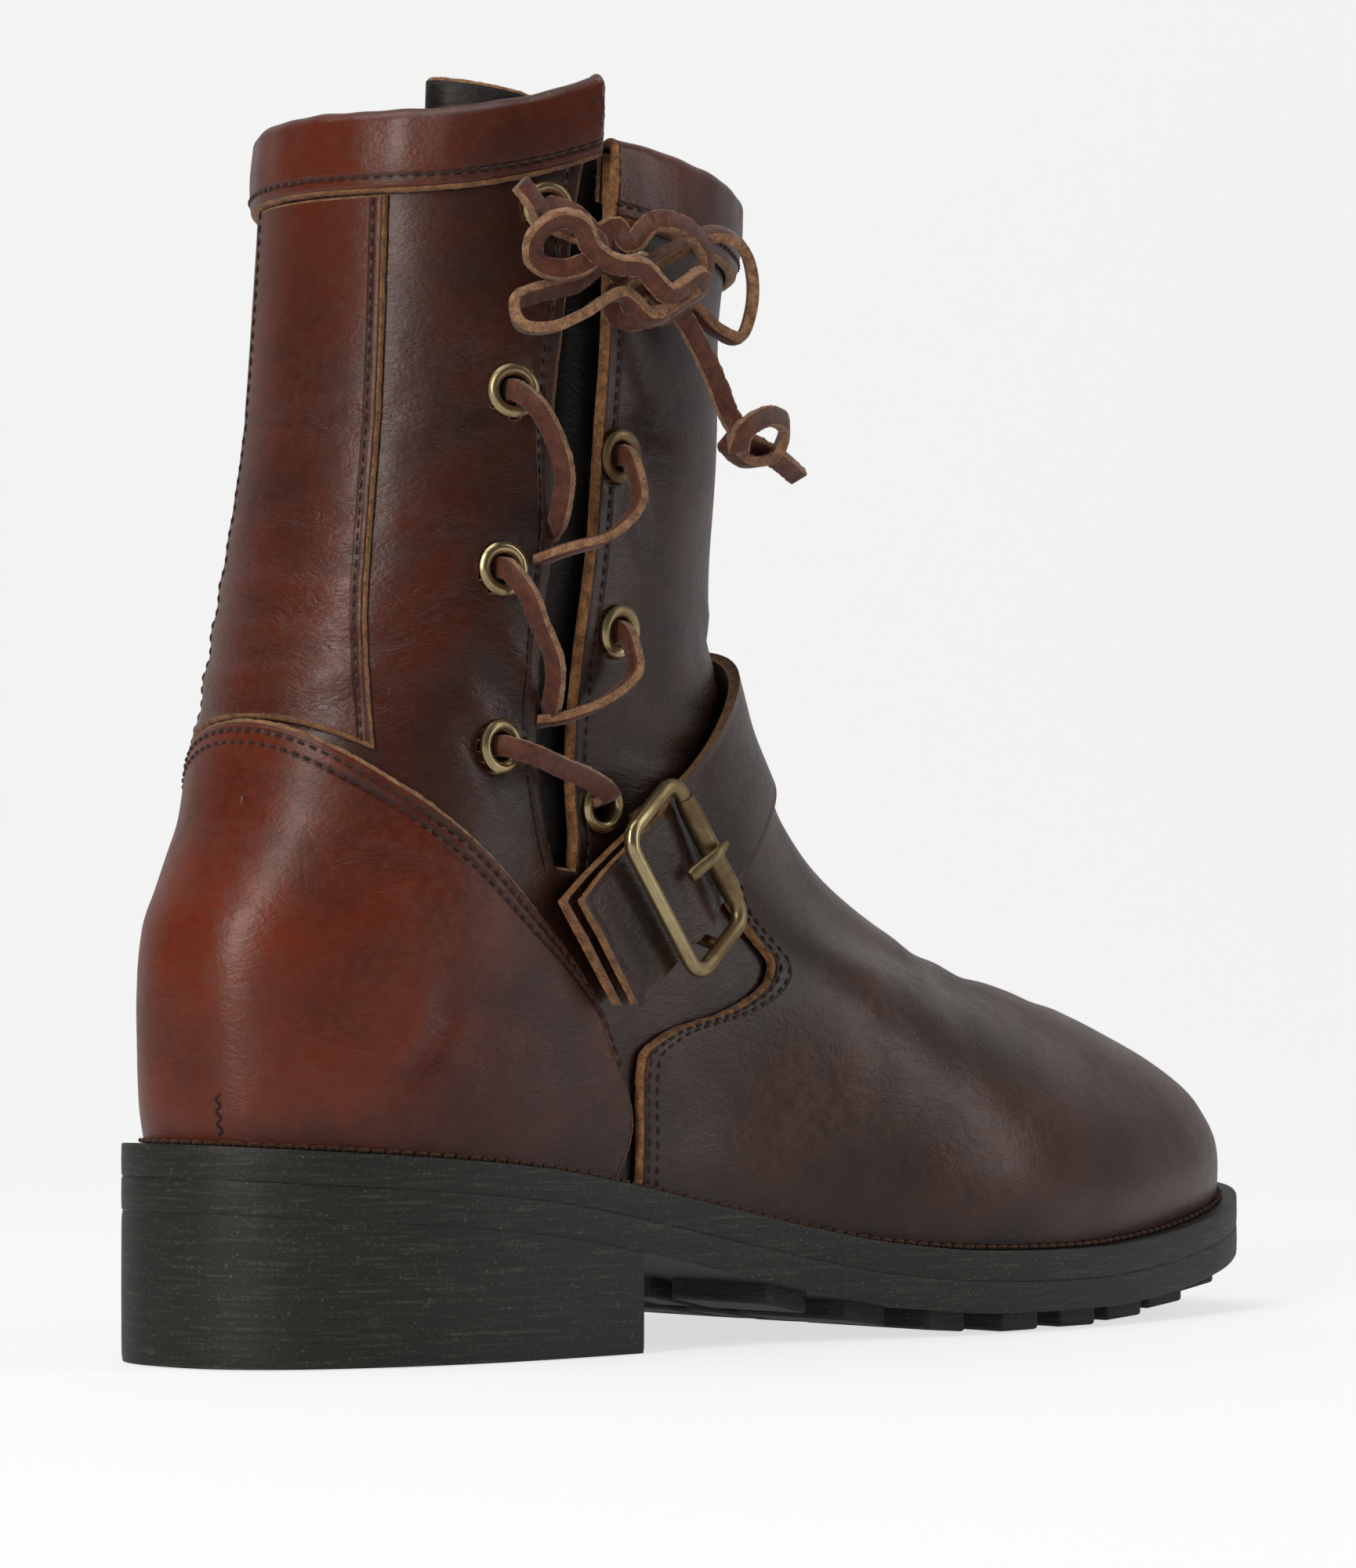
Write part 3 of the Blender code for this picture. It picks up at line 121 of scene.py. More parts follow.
# %% The sections of the last
Loop = namedtuple(
    "Loop",
    "back_y back_z front_y front_z sag square "
    "heel_out waist_out ball_out toe_out heel_in waist_in ball_in toe_in",
)
LOOPS = [
    Loop(0.0235, 0.34, 0.977, 0.21, 1.00, 2.60, 0.272, 0.311, 0.425, 0.318, 0.272, 0.256, 0.401, 0.308),
    Loop(0.0195, 0.40, 0.972, 0.29, 0.85, 2.60, 0.276, 0.318, 0.440, 0.334, 0.276, 0.273, 0.417, 0.327),
    Loop(0.0185, 0.46, 0.953, 0.36, 0.65, 2.55, 0.278, 0.316, 0.426, 0.324, 0.278, 0.285, 0.407, 0.320),
    Loop(0.0185, 0.53, 0.916, 0.43, 0.42, 2.50, 0.277, 0.312, 0.394, 0.272, 0.277, 0.291, 0.376, 0.267),
    Loop(0.0195, 0.59, 0.859, 0.49, 0.20, 2.42, 0.275, 0.308, 0.354, 0.216, 0.275, 0.294, 0.340, 0.212),
    Loop(0.0240, 0.66, 0.785, 0.532, 0.05, 2.36, 0.272, 0.305, 0.322, 0.188, 0.272, 0.295, 0.308, 0.184),
    Loop(0.0350, 0.715, 0.704, 0.580, 0.00, 2.30, 0.270, 0.302, 0.308, 0.180, 0.270, 0.296, 0.298, 0.176),
    Loop(0.0465, 0.77, 0.633, 0.648, 0.00, 2.24, 0.268, 0.302, 0.300, 0.182, 0.268, 0.298, 0.292, 0.178),
    Loop(0.0590, 0.83, 0.566, 0.745, 0.00, 2.20, 0.264, 0.303, 0.300, 0.190, 0.264, 0.300, 0.294, 0.186),
    Loop(0.0680, 0.92, 0.512, 0.870, 0.00, 2.16, 0.262, 0.308, 0.304, 0.202, 0.262, 0.306, 0.300, 0.199),
    Loop(0.0786, 1.03, 0.475, 1.000, 0.00, 2.12, 0.252, 0.320, 0.316, 0.213, 0.252, 0.318, 0.313, 0.211),
    Loop(0.0890, 1.16, 0.457, 1.160, 0.00, 2.10, 0.244, 0.334, 0.326, 0.221, 0.244, 0.332, 0.324, 0.219),
    Loop(0.1034, 1.33, 0.452, 1.330, 0.00, 2.10, 0.241, 0.349, 0.341, 0.233, 0.241, 0.347, 0.339, 0.231),
    Loop(0.1158, 1.50, 0.452, 1.500, 0.00, 2.10, 0.243, 0.361, 0.352, 0.243, 0.243, 0.359, 0.350, 0.241),
    Loop(0.1235, 1.70, 0.453, 1.680, 0.00, 2.10, 0.247, 0.370, 0.361, 0.249, 0.247, 0.368, 0.359, 0.247),
    Loop(0.1274, 1.87, 0.459, 1.805, 0.00, 2.10, 0.250, 0.373, 0.364, 0.252, 0.250, 0.371, 0.362, 0.250),
    Loop(0.1290, 2.00, 0.464, 1.890, 0.00, 2.10, 0.252, 0.374, 0.366, 0.254, 0.252, 0.372, 0.364, 0.252),
]
STATION_SHARES = (0.12, 0.38, 0.66, 0.88)
TOP_ROW = len(LOOPS) - 1
SOLE_LINE = [(0.0, 1.0), (0.12, 0.90), (0.215, 0.79), (0.295, 0.635), (0.385, 0.42),
             (0.45, 0.255), (0.52, 0.105), (0.60, 0.02), (0.68, 0.0), (1.0, 0.0)]
TOE_LINE = [(0.0, 0.0), (0.70, 0.0), (0.80, 0.14), (0.90, 0.48), (1.0, 1.0)]
print("loops from sole to rim:", len(LOOPS))

# %% The panels' outlines on the form
SLIT = [(0.74, 0.345, 0.375), (0.82, 0.352, 0.405), (1.0, 0.360, 0.435), (1.25, 0.370, 0.456),
        (1.50, 0.330, 0.433), (1.75, 0.342, 0.420), (2.00, 0.392, 0.402)]
EYELETS_REAR = [(1.515, 0.243), (1.221, 0.264), (0.938, 0.272)]
EYELETS_FRONT = [(1.437, 0.486), (1.136, 0.530), (0.850, 0.466)]
REAR_DROP, REAR_SHARE = 0.0018, 0.284
FRONT_DROP, FRONT_SHARE = 0.0041, 0.490
SLIT_BACK_WEIGHT, SLIT_FRONT_WEIGHT = 0.62, 0.38
COUNTER_BACK = 0.38
COUNTER_EDGE = [(0.0, 0.975), (0.064, 0.958), (0.112, 0.890), (0.151, 0.820), (0.205, 0.710),
                (0.240, 0.634), (0.268, 0.550), (0.2825, 0.475)]
COUNTER_FRONT = 0.289
COUNTER_BULGE = 0.035
VAMP_EDGE = [(0.0, 0.302), (1.0, 0.306), (2.0, 0.312), (2.7, 0.322), (3.3, 0.360), (4.0, 0.446),
             (4.8, 0.520), (5.6, 0.564), (6.3, 0.580), (7.0, 0.594), (7.8, 0.640), (8.6, 0.720),
             (9.4, 0.850)]
STRAP_FOOT = (0.2490, 0.605)
STRAP_SLOPE = math.radians(36.5)
STRAP_LIFT = [(0.0, 1.62), (0.06, 1.60), (0.095, 1.60), (0.118, 1.52), (0.135, 0.80),
              (0.148, 0.12), (0.17, 0.0), (1.0, 0.0)]
CHAPE_END = 0.098
BUCKLE_PLACE = 0.113
print("outlines: slit", len(SLIT), "counter", len(COUNTER_EDGE), "vamp", len(VAMP_EDGE), "rows")


# %% Curves through the tables
def smooth(points, at, column=1):
    """Monotone cubic through a short table: no overshoot between its rows."""
    xs = np.array([row[0] for row in points], float)
    ys = np.array([row[column] for row in points], float)
    at = np.clip(np.asarray(at, float), xs[0], xs[-1])
    step = np.diff(xs)
    slope = np.diff(ys) / step
    tangent = np.zeros(len(xs))
    tangent[0], tangent[-1] = slope[0], slope[-1]
    for i in range(1, len(xs) - 1):
        if slope[i - 1] * slope[i] > 0:
            a = 2 * step[i] + step[i - 1]
            b = step[i] + 2 * step[i - 1]
            tangent[i] = (a + b) / (a / slope[i - 1] + b / slope[i])
    k = np.clip(np.searchsorted(xs, at, side="right") - 1, 0, len(step) - 1)
    t = (at - xs[k]) / step[k]
    return ((1 + 2 * t) * (1 - t) ** 2 * ys[k] + t * (1 - t) ** 2 * step[k] * tangent[k]
            + t * t * (3 - 2 * t) * ys[k + 1] + t * t * (t - 1) * step[k] * tangent[k + 1])


def height_of(share):
    """A height share of the tables as a height."""
    return np.where(share <= 1, INSTEP_HEIGHT * share,
                    INSTEP_HEIGHT + (RIM_HEIGHT - INSTEP_HEIGHT) * (share - 1))


def sole_top(y):
    """Height of the midsole's top face at a place along the foot, from the heel's back."""
    share = y / LENGTH
    drop = smooth(SOLE_LINE, share)
    rise = smooth(TOE_LINE, share)
    return FORE_HEIGHT + (HEEL_HEIGHT - FORE_HEIGHT) * drop + TOE_RISE * rise


LOOP_TABLES = {
    field: [(row, getattr(loop, field)) for row, loop in enumerate(LOOPS)] for field in Loop._fields
}


def loop_value(field, row):
    return smooth(LOOP_TABLES[field], row)


print("sole's top at the heel", round(float(sole_top(0.0)), 4),
      "at the toe", round(float(sole_top(LENGTH)), 4))


# %% A point of the form
def blend_stations(values, share):
    """Smooth curve through the values at the four stations, level past the outer two."""
    s = STATION_SHARES
    share = np.clip(share, s[0], s[-1])
    tangents = [0 * values[0]]
    for i in (1, 2):
        left = (values[i] - values[i - 1]) / (s[i] - s[i - 1])
        right = (values[i + 1] - values[i]) / (s[i + 1] - s[i])
        tangents.append((left + right) / 2)
    tangents.append(0 * values[0])
    result = values[0] + 0 * share
    for i in range(3):
        step = s[i + 1] - s[i]
        t = np.clip((share - s[i]) / step, 0, 1)
        part = ((1 + 2 * t) * (1 - t) ** 2 * values[i] + t * (1 - t) ** 2 * step * tangents[i]
                + t * t * (3 - 2 * t) * values[i + 1] + t * t * (t - 1) * step * tangents[i + 1])
        result = np.where(share >= s[i], part, result)
    return result


def loop_point(row, turn):
    """Point of the upper's outer face. row counts loops up from the sole; turn is 0 at the back,
    half a turn at the toe, and passes the outer side first."""
    row, turn = np.broadcast_arrays(np.asarray(row, float), np.asarray(turn, float))
    share = (1 - np.cos(turn)) / 2
    back_y, front_y = loop_value("back_y", row) * LENGTH, loop_value("front_y", row) * LENGTH
    back_z = height_of(loop_value("back_z", row))
    front_z = height_of(loop_value("front_z", row))
    y = back_y + (front_y - back_y) * share
    base_z = height_of(LOOPS[0].back_z + (LOOPS[0].front_z - LOOPS[0].back_z) * share)
    z = back_z + (front_z - back_z) * share + loop_value("sag", row) * (sole_top(y) + GAP - base_z)
    square = loop_value("square", row)
    end = np.maximum(1 - np.abs(np.cos(turn)) ** square, 0) ** (1 / square)
    outer = np.sin(turn) >= 0
    width = np.zeros_like(share)
    for side, mask in (("out", outer), ("in", ~outer)):
        gains = []
        for name, station in zip(("heel", "waist", "ball", "toe"), STATION_SHARES):
            full = (1 - abs(2 * station - 1) ** square) ** (1 / square)
            gains.append(loop_value(f"{name}_{side}", row) * BALL_WIDTH / full)
        width = np.where(mask, blend_stations(gains, share), width)
    x = np.where(outer, 1, -1) * width * end
    return np.stack([x, y, z], axis=-1)


def rim_lift(row, turn):
    """The rear flap's rim rises to the slit; the front flap's starts a little lower."""
    grow = np.clip((row - (TOP_ROW - 6)) / 6, 0, 1)
    share = (1 - np.cos(turn)) / 2
    outer = np.sin(turn) > 0
    slit = smooth([(r[0], r[1]) for r in SLIT], 2.0)
    rear = REAR_FLAP_RISE * np.clip(share / slit, 0, 1) ** 1.6
    front = FRONT_FLAP_RISE * np.clip((1 - share) / (1 - slit), 0, 1)
    inner = FRONT_FLAP_RISE * np.sin(math.pi * np.clip(share, 0, 1))
    return grow * np.where(outer, np.where(share <= slit + 0.004, rear, front), inner)


def on_form(row, turn, out=0.0):
    """Point at a distance out from the upper's outer face, along its normal, and that normal."""
    row, turn = np.broadcast_arrays(np.clip(np.asarray(row, float), 0, TOP_ROW),
                                    np.asarray(turn, float))
    step_row, step_turn = 0.05, 0.02
    low, high = np.maximum(row - step_row, 0), np.minimum(row + step_row, TOP_ROW)
    along = loop_point(row, turn + step_turn) - loop_point(row, turn - step_turn)
    up = loop_point(high, turn) - loop_point(low, turn)
    normal = np.cross(along, up)
    normal /= np.linalg.norm(normal, axis=-1, keepdims=True)
    point = loop_point(row, turn) + normal * np.asarray(out)[..., None]
    point[..., 2] += rim_lift(row, turn)
    return point - ORIGIN, normal


def on_upper(row, turn, out=0.0):
    return on_form(row, turn, out)[0]


print("toe of the form at", on_upper(2.0, math.pi).round(4).tolist())


# %% Places named by share and height
def turn_at(share, inner=False):
    """Turn of a place given as a share of the loop, on the outer or inner side of the foot."""
    turn = np.arccos(1 - 2 * np.clip(share, 0, 1))
    return -turn if inner else turn


def row_at_height(share, height):
    """Loop number at which a place on the side of the upper has a height."""
    share = np.asarray(share, float)
    low, high = np.zeros_like(share), np.full_like(share, TOP_ROW)
    for _ in range(30):
        middle = (low + high) / 2
        above = loop_point(middle, turn_at(share))[..., 2] > height
        low, high = np.where(above, low, middle), np.where(above, middle, high)
    return (low + high) / 2


def row_of_side_view(y, z):
    """Loop number and share of a place given by its side view."""
    y, z = np.broadcast_arrays(np.asarray(y, float), np.asarray(z, float))
    low, high = np.zeros(y.shape), np.full(y.shape, float(TOP_ROW))

    def share_of(row):
        back, front = loop_value("back_y", row) * LENGTH, loop_value("front_y", row) * LENGTH
        return np.clip((y - back) / (front - back), 0, 1)

    for _ in range(34):
        middle = (low + high) / 2
        above = loop_point(middle, turn_at(share_of(middle)))[..., 2] > z
        low, high = np.where(above, low, middle), np.where(above, middle, high)
    row = (low + high) / 2
    return row, share_of(row)


def front_profile(z):
    """Place along the foot of the front profile at a height."""
    rows = np.linspace(0, TOP_ROW, 200)
    heights = height_of(loop_value("front_z", rows))
    return np.interp(z, heights, loop_value("front_y", rows) * LENGTH)


def over(height, share, out):
    """Point over the upper's outer side by height share and loop share."""
    row = float(row_at_height(share, float(height_of(height))))
    return on_upper(row, float(turn_at(share)), out)


print("second rear eyelet at", over(*EYELETS_REAR[0], 0.0).round(4).tolist())

# %% [markdown]
# The photo looks level at the outer side from behind, from about 1.1 m. The camera keeps that place
# and height and turns right by 5.3 degrees: the boot keeps its angle and the toe comes into the
# frame. A level camera with a shift, not a tilt, keeps the shaft's sides upright.

# %% Camera
VIEW_TARGET = np.array([0.0, -0.044, 0.080])
VIEW_DISTANCE = 1.1
VIEW_ANGLE = math.radians(50.0)
VIEW_ASIDE = 0.00444
VIEW_TURN = math.radians(5.3)
HORIZON_BELOW_MIDDLE = 0.1005

towards_camera = np.array([math.sin(VIEW_ANGLE), -math.cos(VIEW_ANGLE), 0.0])
to_the_right = np.array([math.cos(VIEW_ANGLE), math.sin(VIEW_ANGLE), 0.0])
lens = bpy.data.cameras.new("photo_camera")
lens.lens = 133.65
lens.sensor_width = 36.0
lens.shift_y = HORIZON_BELOW_MIDDLE
lens.clip_start = 0.01
photo_camera = bpy.data.objects.new("photo_camera", lens)
bpy.context.collection.objects.link(photo_camera)
photo_camera.location = VIEW_TARGET + towards_camera * VIEW_DISTANCE - to_the_right * VIEW_ASIDE
photo_camera.rotation_euler = (math.pi / 2, 0.0, VIEW_ANGLE - VIEW_TURN)
bpy.context.scene.camera = photo_camera
print("camera at", [round(v, 4) for v in photo_camera.location], "lens", lens.lens, "mm")


# %% [markdown]
# Materials are built from a few shared groups of shader nodes. Each group stands for something that
# happens to leather or rubber: its grain, the colour that oil brings up, the groove a stitch pulls
# in, loose fibre on a cut edge, and the brushed lines on rubber. Two of them also paint light: the
# colour group mixes in a painted glow on the heel, and the groove group lays painted shade in seams
# and along edges. A maker can tune one group and see it on every panel.

# %% Small helpers for shader nodes
def add(tree, kind, options=None, **inputs):
    """New shader node. options are its settings; inputs are values or sockets by name."""
    node = tree.nodes.new("ShaderNode" + kind)
    for name, value in (options or {}).items():
        setattr(node, name, value)
    for name, value in inputs.items():
        socket = node.inputs[name.replace("_", " ")]
        if isinstance(value, bpy.types.NodeSocket):
            tree.links.new(value, socket)
        else:
            socket.default_value = value
    return node


def maths(tree, operation, *values):
    node = tree.nodes.new("ShaderNodeMath")
    node.operation = operation
    for socket, value in zip(node.inputs, values):
        if isinstance(value, bpy.types.NodeSocket):
            tree.links.new(value, socket)
        else:
            socket.default_value = value
    return node.outputs[0]


def blend_colours(tree, factor, first, second, mode="MIX"):
    node = tree.nodes.new("ShaderNodeMix")
    node.data_type = "RGBA"
    node.blend_type = mode
    for socket, value in ((node.inputs[0], factor), (node.inputs[6], first), (node.inputs[7], second)):
        if isinstance(value, bpy.types.NodeSocket):
            tree.links.new(value, socket)
        else:
            socket.default_value = value
    return node.outputs[2]


def fade(tree, value, low, high):
    """0 where value is at low, 1 at high, and soft between."""
    return add(tree, "MapRange", {"interpolation_type": "SMOOTHSTEP"}, Value=value,
               From_Min=low, From_Max=high).outputs[0]


def painted(tree, name):
    """A value that the mesh code wrote on the vertices."""
    return add(tree, "Attribute", {"attribute_name": name}).outputs["Fac"]


def new_group(name, inputs, outputs):
    tree = bpy.data.node_groups.new(name, "ShaderNodeTree")
    for socket, kind, value in inputs:
        made = tree.interface.new_socket(name=socket, in_out="INPUT", socket_type="NodeSocket" + kind)
        if value is not None:
            made.default_value = value
    for socket, kind in outputs:
        tree.interface.new_socket(name=socket, in_out="OUTPUT", socket_type="NodeSocket" + kind)
    return tree, tree.nodes.new("NodeGroupInput").outputs, tree.nodes.new("NodeGroupOutput").inputs


def use_group(tree, group, **inputs):
    node = tree.nodes.new("ShaderNodeGroup")
    node.node_tree = group
    for name, value in inputs.items():
        socket = node.inputs[name.replace("_", " ")]
        if isinstance(value, bpy.types.NodeSocket):
            tree.links.new(value, socket)
        else:
            socket.default_value = value
    return node.outputs


def tone(red, green, blue):
    """Colour from the 0 to 255 values that a picture shows."""
    return tuple(((v / 255 + 0.055) / 1.055) ** 2.4 if v > 10 else v / 255 / 12.92
                 for v in (red, green, blue)) + (1.0,)


print("a tan of 150, 104, 66 is", [round(v, 3) for v in tone(150, 104, 66)])

# %% Group: the grain and creases of a hide
HIDE, hide_in, hide_out = new_group(
    "hide_grain", [("Place", "Vector", None), ("Crease", "Float", 1.0)],
    [("Height", "Float"), ("Mottle", "Float"), ("Fine", "Float")])
pores = add(HIDE, "TexVoronoi", {"feature": "SMOOTH_F1"}, Vector=hide_in["Place"], Scale=1150.0,
            Smoothness=0.6).outputs["Distance"]
pebble = add(HIDE, "TexNoise", Vector=hide_in["Place"], Scale=420.0, Detail=4.0, Roughness=0.6).outputs[0]
drift = add(HIDE, "TexNoise", Vector=hide_in["Place"], Scale=55.0, Detail=3.0).outputs["Color"]
bent = add(HIDE, "VectorMath", {"operation": "MULTIPLY_ADD"})
HIDE.links.new(drift, bent.inputs[0])
bent.inputs[1].default_value = (0.012, 0.012, 0.012)
HIDE.links.new(hide_in["Place"], bent.inputs[2])
across = add(HIDE, "Mapping", Vector=bent.outputs[0], Scale=(1.0, 1.0, 3.2))
folds = add(HIDE, "TexNoise", Vector=across.outputs[0], Scale=120.0, Detail=5.0, Roughness=0.55,
            Distortion=0.4).outputs[0]
ridge = maths(HIDE, "ABSOLUTE", maths(HIDE, "SUBTRACT", folds, 0.5))
fold_height = maths(HIDE, "MULTIPLY", fade(HIDE, ridge, 0.0, 0.09), hide_in["Crease"])
mottle = add(HIDE, "TexNoise", Vector=bent.outputs[0], Scale=38.0, Detail=7.0, Roughness=0.62).outputs[0]
height = maths(HIDE, "MULTIPLY_ADD", pores, 0.22, maths(HIDE, "MULTIPLY", pebble, 0.30))
fine_place = add(HIDE, "Mapping", Vector=bent.outputs[0], Scale=(0.35, 0.35, 2.2))
fine_lines = add(HIDE, "TexNoise", Vector=fine_place.outputs[0], Scale=520.0, Detail=2.0,
                 Roughness=0.5).outputs[0]
fine_ridge = maths(HIDE, "ABSOLUTE", maths(HIDE, "SUBTRACT", fine_lines, 0.5))
stretch = maths(HIDE, "MULTIPLY", fade(HIDE, fine_ridge, 0.0, 0.05),
                maths(HIDE, "MULTIPLY", hide_in["Crease"], 0.32))
relief_height = maths(HIDE, "ADD", stretch, maths(HIDE, "MULTIPLY_ADD", fold_height, 0.5, height))
HIDE.links.new(relief_height, hide_out["Height"])
HIDE.links.new(mottle, hide_out["Mottle"])
HIDE.links.new(pebble, hide_out["Fine"])
print("group", HIDE.name, "nodes:", len(HIDE.nodes))

# %% Group: the colour that waxes and handling bring up, plus a painted glow on the heel
PULL_UP, pull_in, pull_out = new_group(
    "pull_up_tone",
    [("Mottle", "Float", 0.5), ("Fine", "Float", 0.5), ("Warmth", "Float", 0.0), ("Rub", "Float", 0.0),
     ("Deep", "Color", (0, 0, 0, 1)), ("Body", "Color", (0, 0, 0, 1)), ("Warm", "Color", (0, 0, 0, 1)),
     ("Rubbed", "Color", (0, 0, 0, 1))],
    [("Color", "Color"), ("Wax", "Float")])
cloud = fade(PULL_UP, pull_in["Mottle"], 0.34, 0.66)
base_tone = blend_colours(PULL_UP, cloud, pull_in["Deep"], pull_in["Body"])
# Painted glow: the warm-tone input also holds a lighter, warmer patch where light falls on the heel.
glow = maths(PULL_UP, "MULTIPLY", pull_in["Warmth"], maths(PULL_UP, "MULTIPLY_ADD", cloud, 0.55, 0.5))
warm_tone = blend_colours(PULL_UP, glow, base_tone, pull_in["Warm"])
worn_and_glow = maths(PULL_UP, "MULTIPLY", pull_in["Rub"], fade(PULL_UP, pull_in["Fine"], 0.40, 0.62))
PULL_UP.links.new(blend_colours(PULL_UP, worn_and_glow, warm_tone, pull_in["Rubbed"]), pull_out["Color"])
PULL_UP.links.new(cloud, pull_out["Wax"])
print("group", PULL_UP.name, "nodes:", len(PULL_UP.nodes))

# %% Group: the groove under a seam and the roll of an edge, with painted shade in both
GROOVE, groove_in, groove_out = new_group(
    "stitch_groove_and_shade", [("Seam", "Float", 10.0), ("Brim", "Float", 10.0)],
    [("Height", "Float"), ("Shade", "Float")])
near_seam = maths(GROOVE, "SUBTRACT", 1.0, fade(GROOVE, groove_in["Seam"], 0.1, 0.9))
near_brim = maths(GROOVE, "SUBTRACT", 1.0, fade(GROOVE, groove_in["Brim"], 0.0, 1.1))
GROOVE.links.new(maths(GROOVE, "MULTIPLY", maths(GROOVE, "ADD", near_seam, near_brim), -1.0),
                 groove_out["Height"])
# Shade is painted shade: dark in the seam groove and, weaker, along the rolled edge.
GROOVE.links.new(maths(GROOVE, "MAXIMUM", near_seam, maths(GROOVE, "MULTIPLY", near_brim, 0.25)),
                 groove_out["Shade"])
print("group", GROOVE.name, "nodes:", len(GROOVE.nodes))

# %% Group: fibre on cut edges, flesh sides and rawhide
NAP, nap_in, nap_out = new_group(
    "nap", [("Place", "Vector", None), ("Size", "Float", 1.0)], [("Height", "Float"), ("Shade", "Float")])
fibre_place = add(NAP, "VectorMath", {"operation": "SCALE"}, Vector=nap_in["Place"], Scale=nap_in["Size"])
fibre = add(NAP, "TexNoise", Vector=fibre_place.outputs[0], Scale=2300.0, Detail=3.0, Roughness=0.7,
            Distortion=1.2).outputs[0]
clump = add(NAP, "TexNoise", Vector=fibre_place.outputs[0], Scale=480.0, Detail=4.0,
            Roughness=0.6).outputs[0]
both = maths(NAP, "MULTIPLY_ADD", fibre, 0.55, maths(NAP, "MULTIPLY", clump, 0.45))
NAP.links.new(both, nap_out["Height"])
NAP.links.new(fade(NAP, both, 0.36, 0.64), nap_out["Shade"])
print("group", NAP.name, "nodes:", len(NAP.nodes))

# %% Group: brushed lines and dust on rubber
BRUSHED, brushed_in, brushed_out = new_group(
    "brushed_lines", [("Place", "Vector", None)],
    [("Height", "Float"), ("Speckle", "Float"), ("Cloud", "Float")])
long_lines = add(BRUSHED, "Mapping", Vector=brushed_in["Place"], Scale=(0.045, 0.045, 1.0))
lines = add(BRUSHED, "TexNoise", Vector=long_lines.outputs[0], Scale=1500.0, Detail=5.0,
            Roughness=0.75).outputs[0]
dots = add(BRUSHED, "TexNoise", Vector=brushed_in["Place"], Scale=1500.0, Detail=2.0,
           Roughness=0.7).outputs[0]
cloudy = add(BRUSHED, "TexNoise", Vector=brushed_in["Place"], Scale=60.0, Detail=5.0,
             Roughness=0.6).outputs[0]
BRUSHED.links.new(maths(BRUSHED, "MULTIPLY_ADD", lines, 0.7, maths(BRUSHED, "MULTIPLY", dots, 0.3)),
                  brushed_out["Height"])
BRUSHED.links.new(fade(BRUSHED, dots, 0.66, 0.74), brushed_out["Speckle"])
BRUSHED.links.new(cloudy, brushed_out["Cloud"])
print("group", BRUSHED.name, "nodes:", len(BRUSHED.nodes))


# %% [markdown]
# The leather is a waxed pull-up side: near black where the wax lies thick, red-brown where it was
# stretched or handled, with a soft sheen over both. Low on the heel's back a painted glow lightens
# and warms it where the light falls, and seams and edges get painted shade. One recipe makes every
# panel's finish, with its
# own colours, because panels cut from different parts of a hide never match quite.

# %% Finish: pull-up leather
def start_material(name):
    made = bpy.data.materials.new(name)
    made.use_nodes = True
    tree = made.node_tree
    return made, tree, tree.nodes["Principled BSDF"], add(tree, "TexCoord").outputs["Object"]


def pull_up_leather(name, deep, body, warm, rubbed, rough=0.40, gloss=0.22, grain=0.00022):
    made, tree, shader, place = start_material(name)
    hide = use_group(tree, HIDE, Place=place, Crease=painted(tree, "crease"))
    # The warm-tone and rub marks carry pull-up tone and edge wear, and also a painted glow on the heel.
    colour = use_group(tree, PULL_UP, Mottle=hide["Mottle"], Fine=hide["Fine"],
                       Warmth=painted(tree, "warmth_and_glow"), Rub=painted(tree, "rub_and_glow"), Deep=tone(*deep),
                       Body=tone(*body), Warm=tone(*warm), Rubbed=tone(*rubbed))
    groove = use_group(tree, GROOVE, Seam=painted(tree, "seam"), Brim=painted(tree, "brim"))
    # Painted shade: the colour darkens towards near black in seam grooves and along the rolled edges.
    shaded = blend_colours(tree, maths(tree, "MULTIPLY", groove["Shade"], 0.50), colour["Color"],
                           (0.004, 0.003, 0.0025, 1))
    tree.links.new(shaded, shader.inputs["Base Color"])
    roughness = maths(tree, "MULTIPLY_ADD", colour["Wax"], -0.10,
                      maths(tree, "MULTIPLY_ADD", hide["Fine"], 0.22, rough - 0.06))
    tree.links.new(roughness, shader.inputs["Roughness"])
    shader.inputs["Coat Weight"].default_value = gloss
    shader.inputs["Coat Roughness"].default_value = 0.24
    grain_bump = add(tree, "Bump", Strength=0.55, Distance=grain, Height=hide["Height"])
    seam_bump = add(tree, "Bump", Strength=0.9, Distance=0.00035, Height=groove["Height"],
                    Normal=grain_bump.outputs[0])
    tree.links.new(seam_bump.outputs[0], shader.inputs["Normal"])
    tree.links.new(grain_bump.outputs[0], shader.inputs["Coat Normal"])
    return made


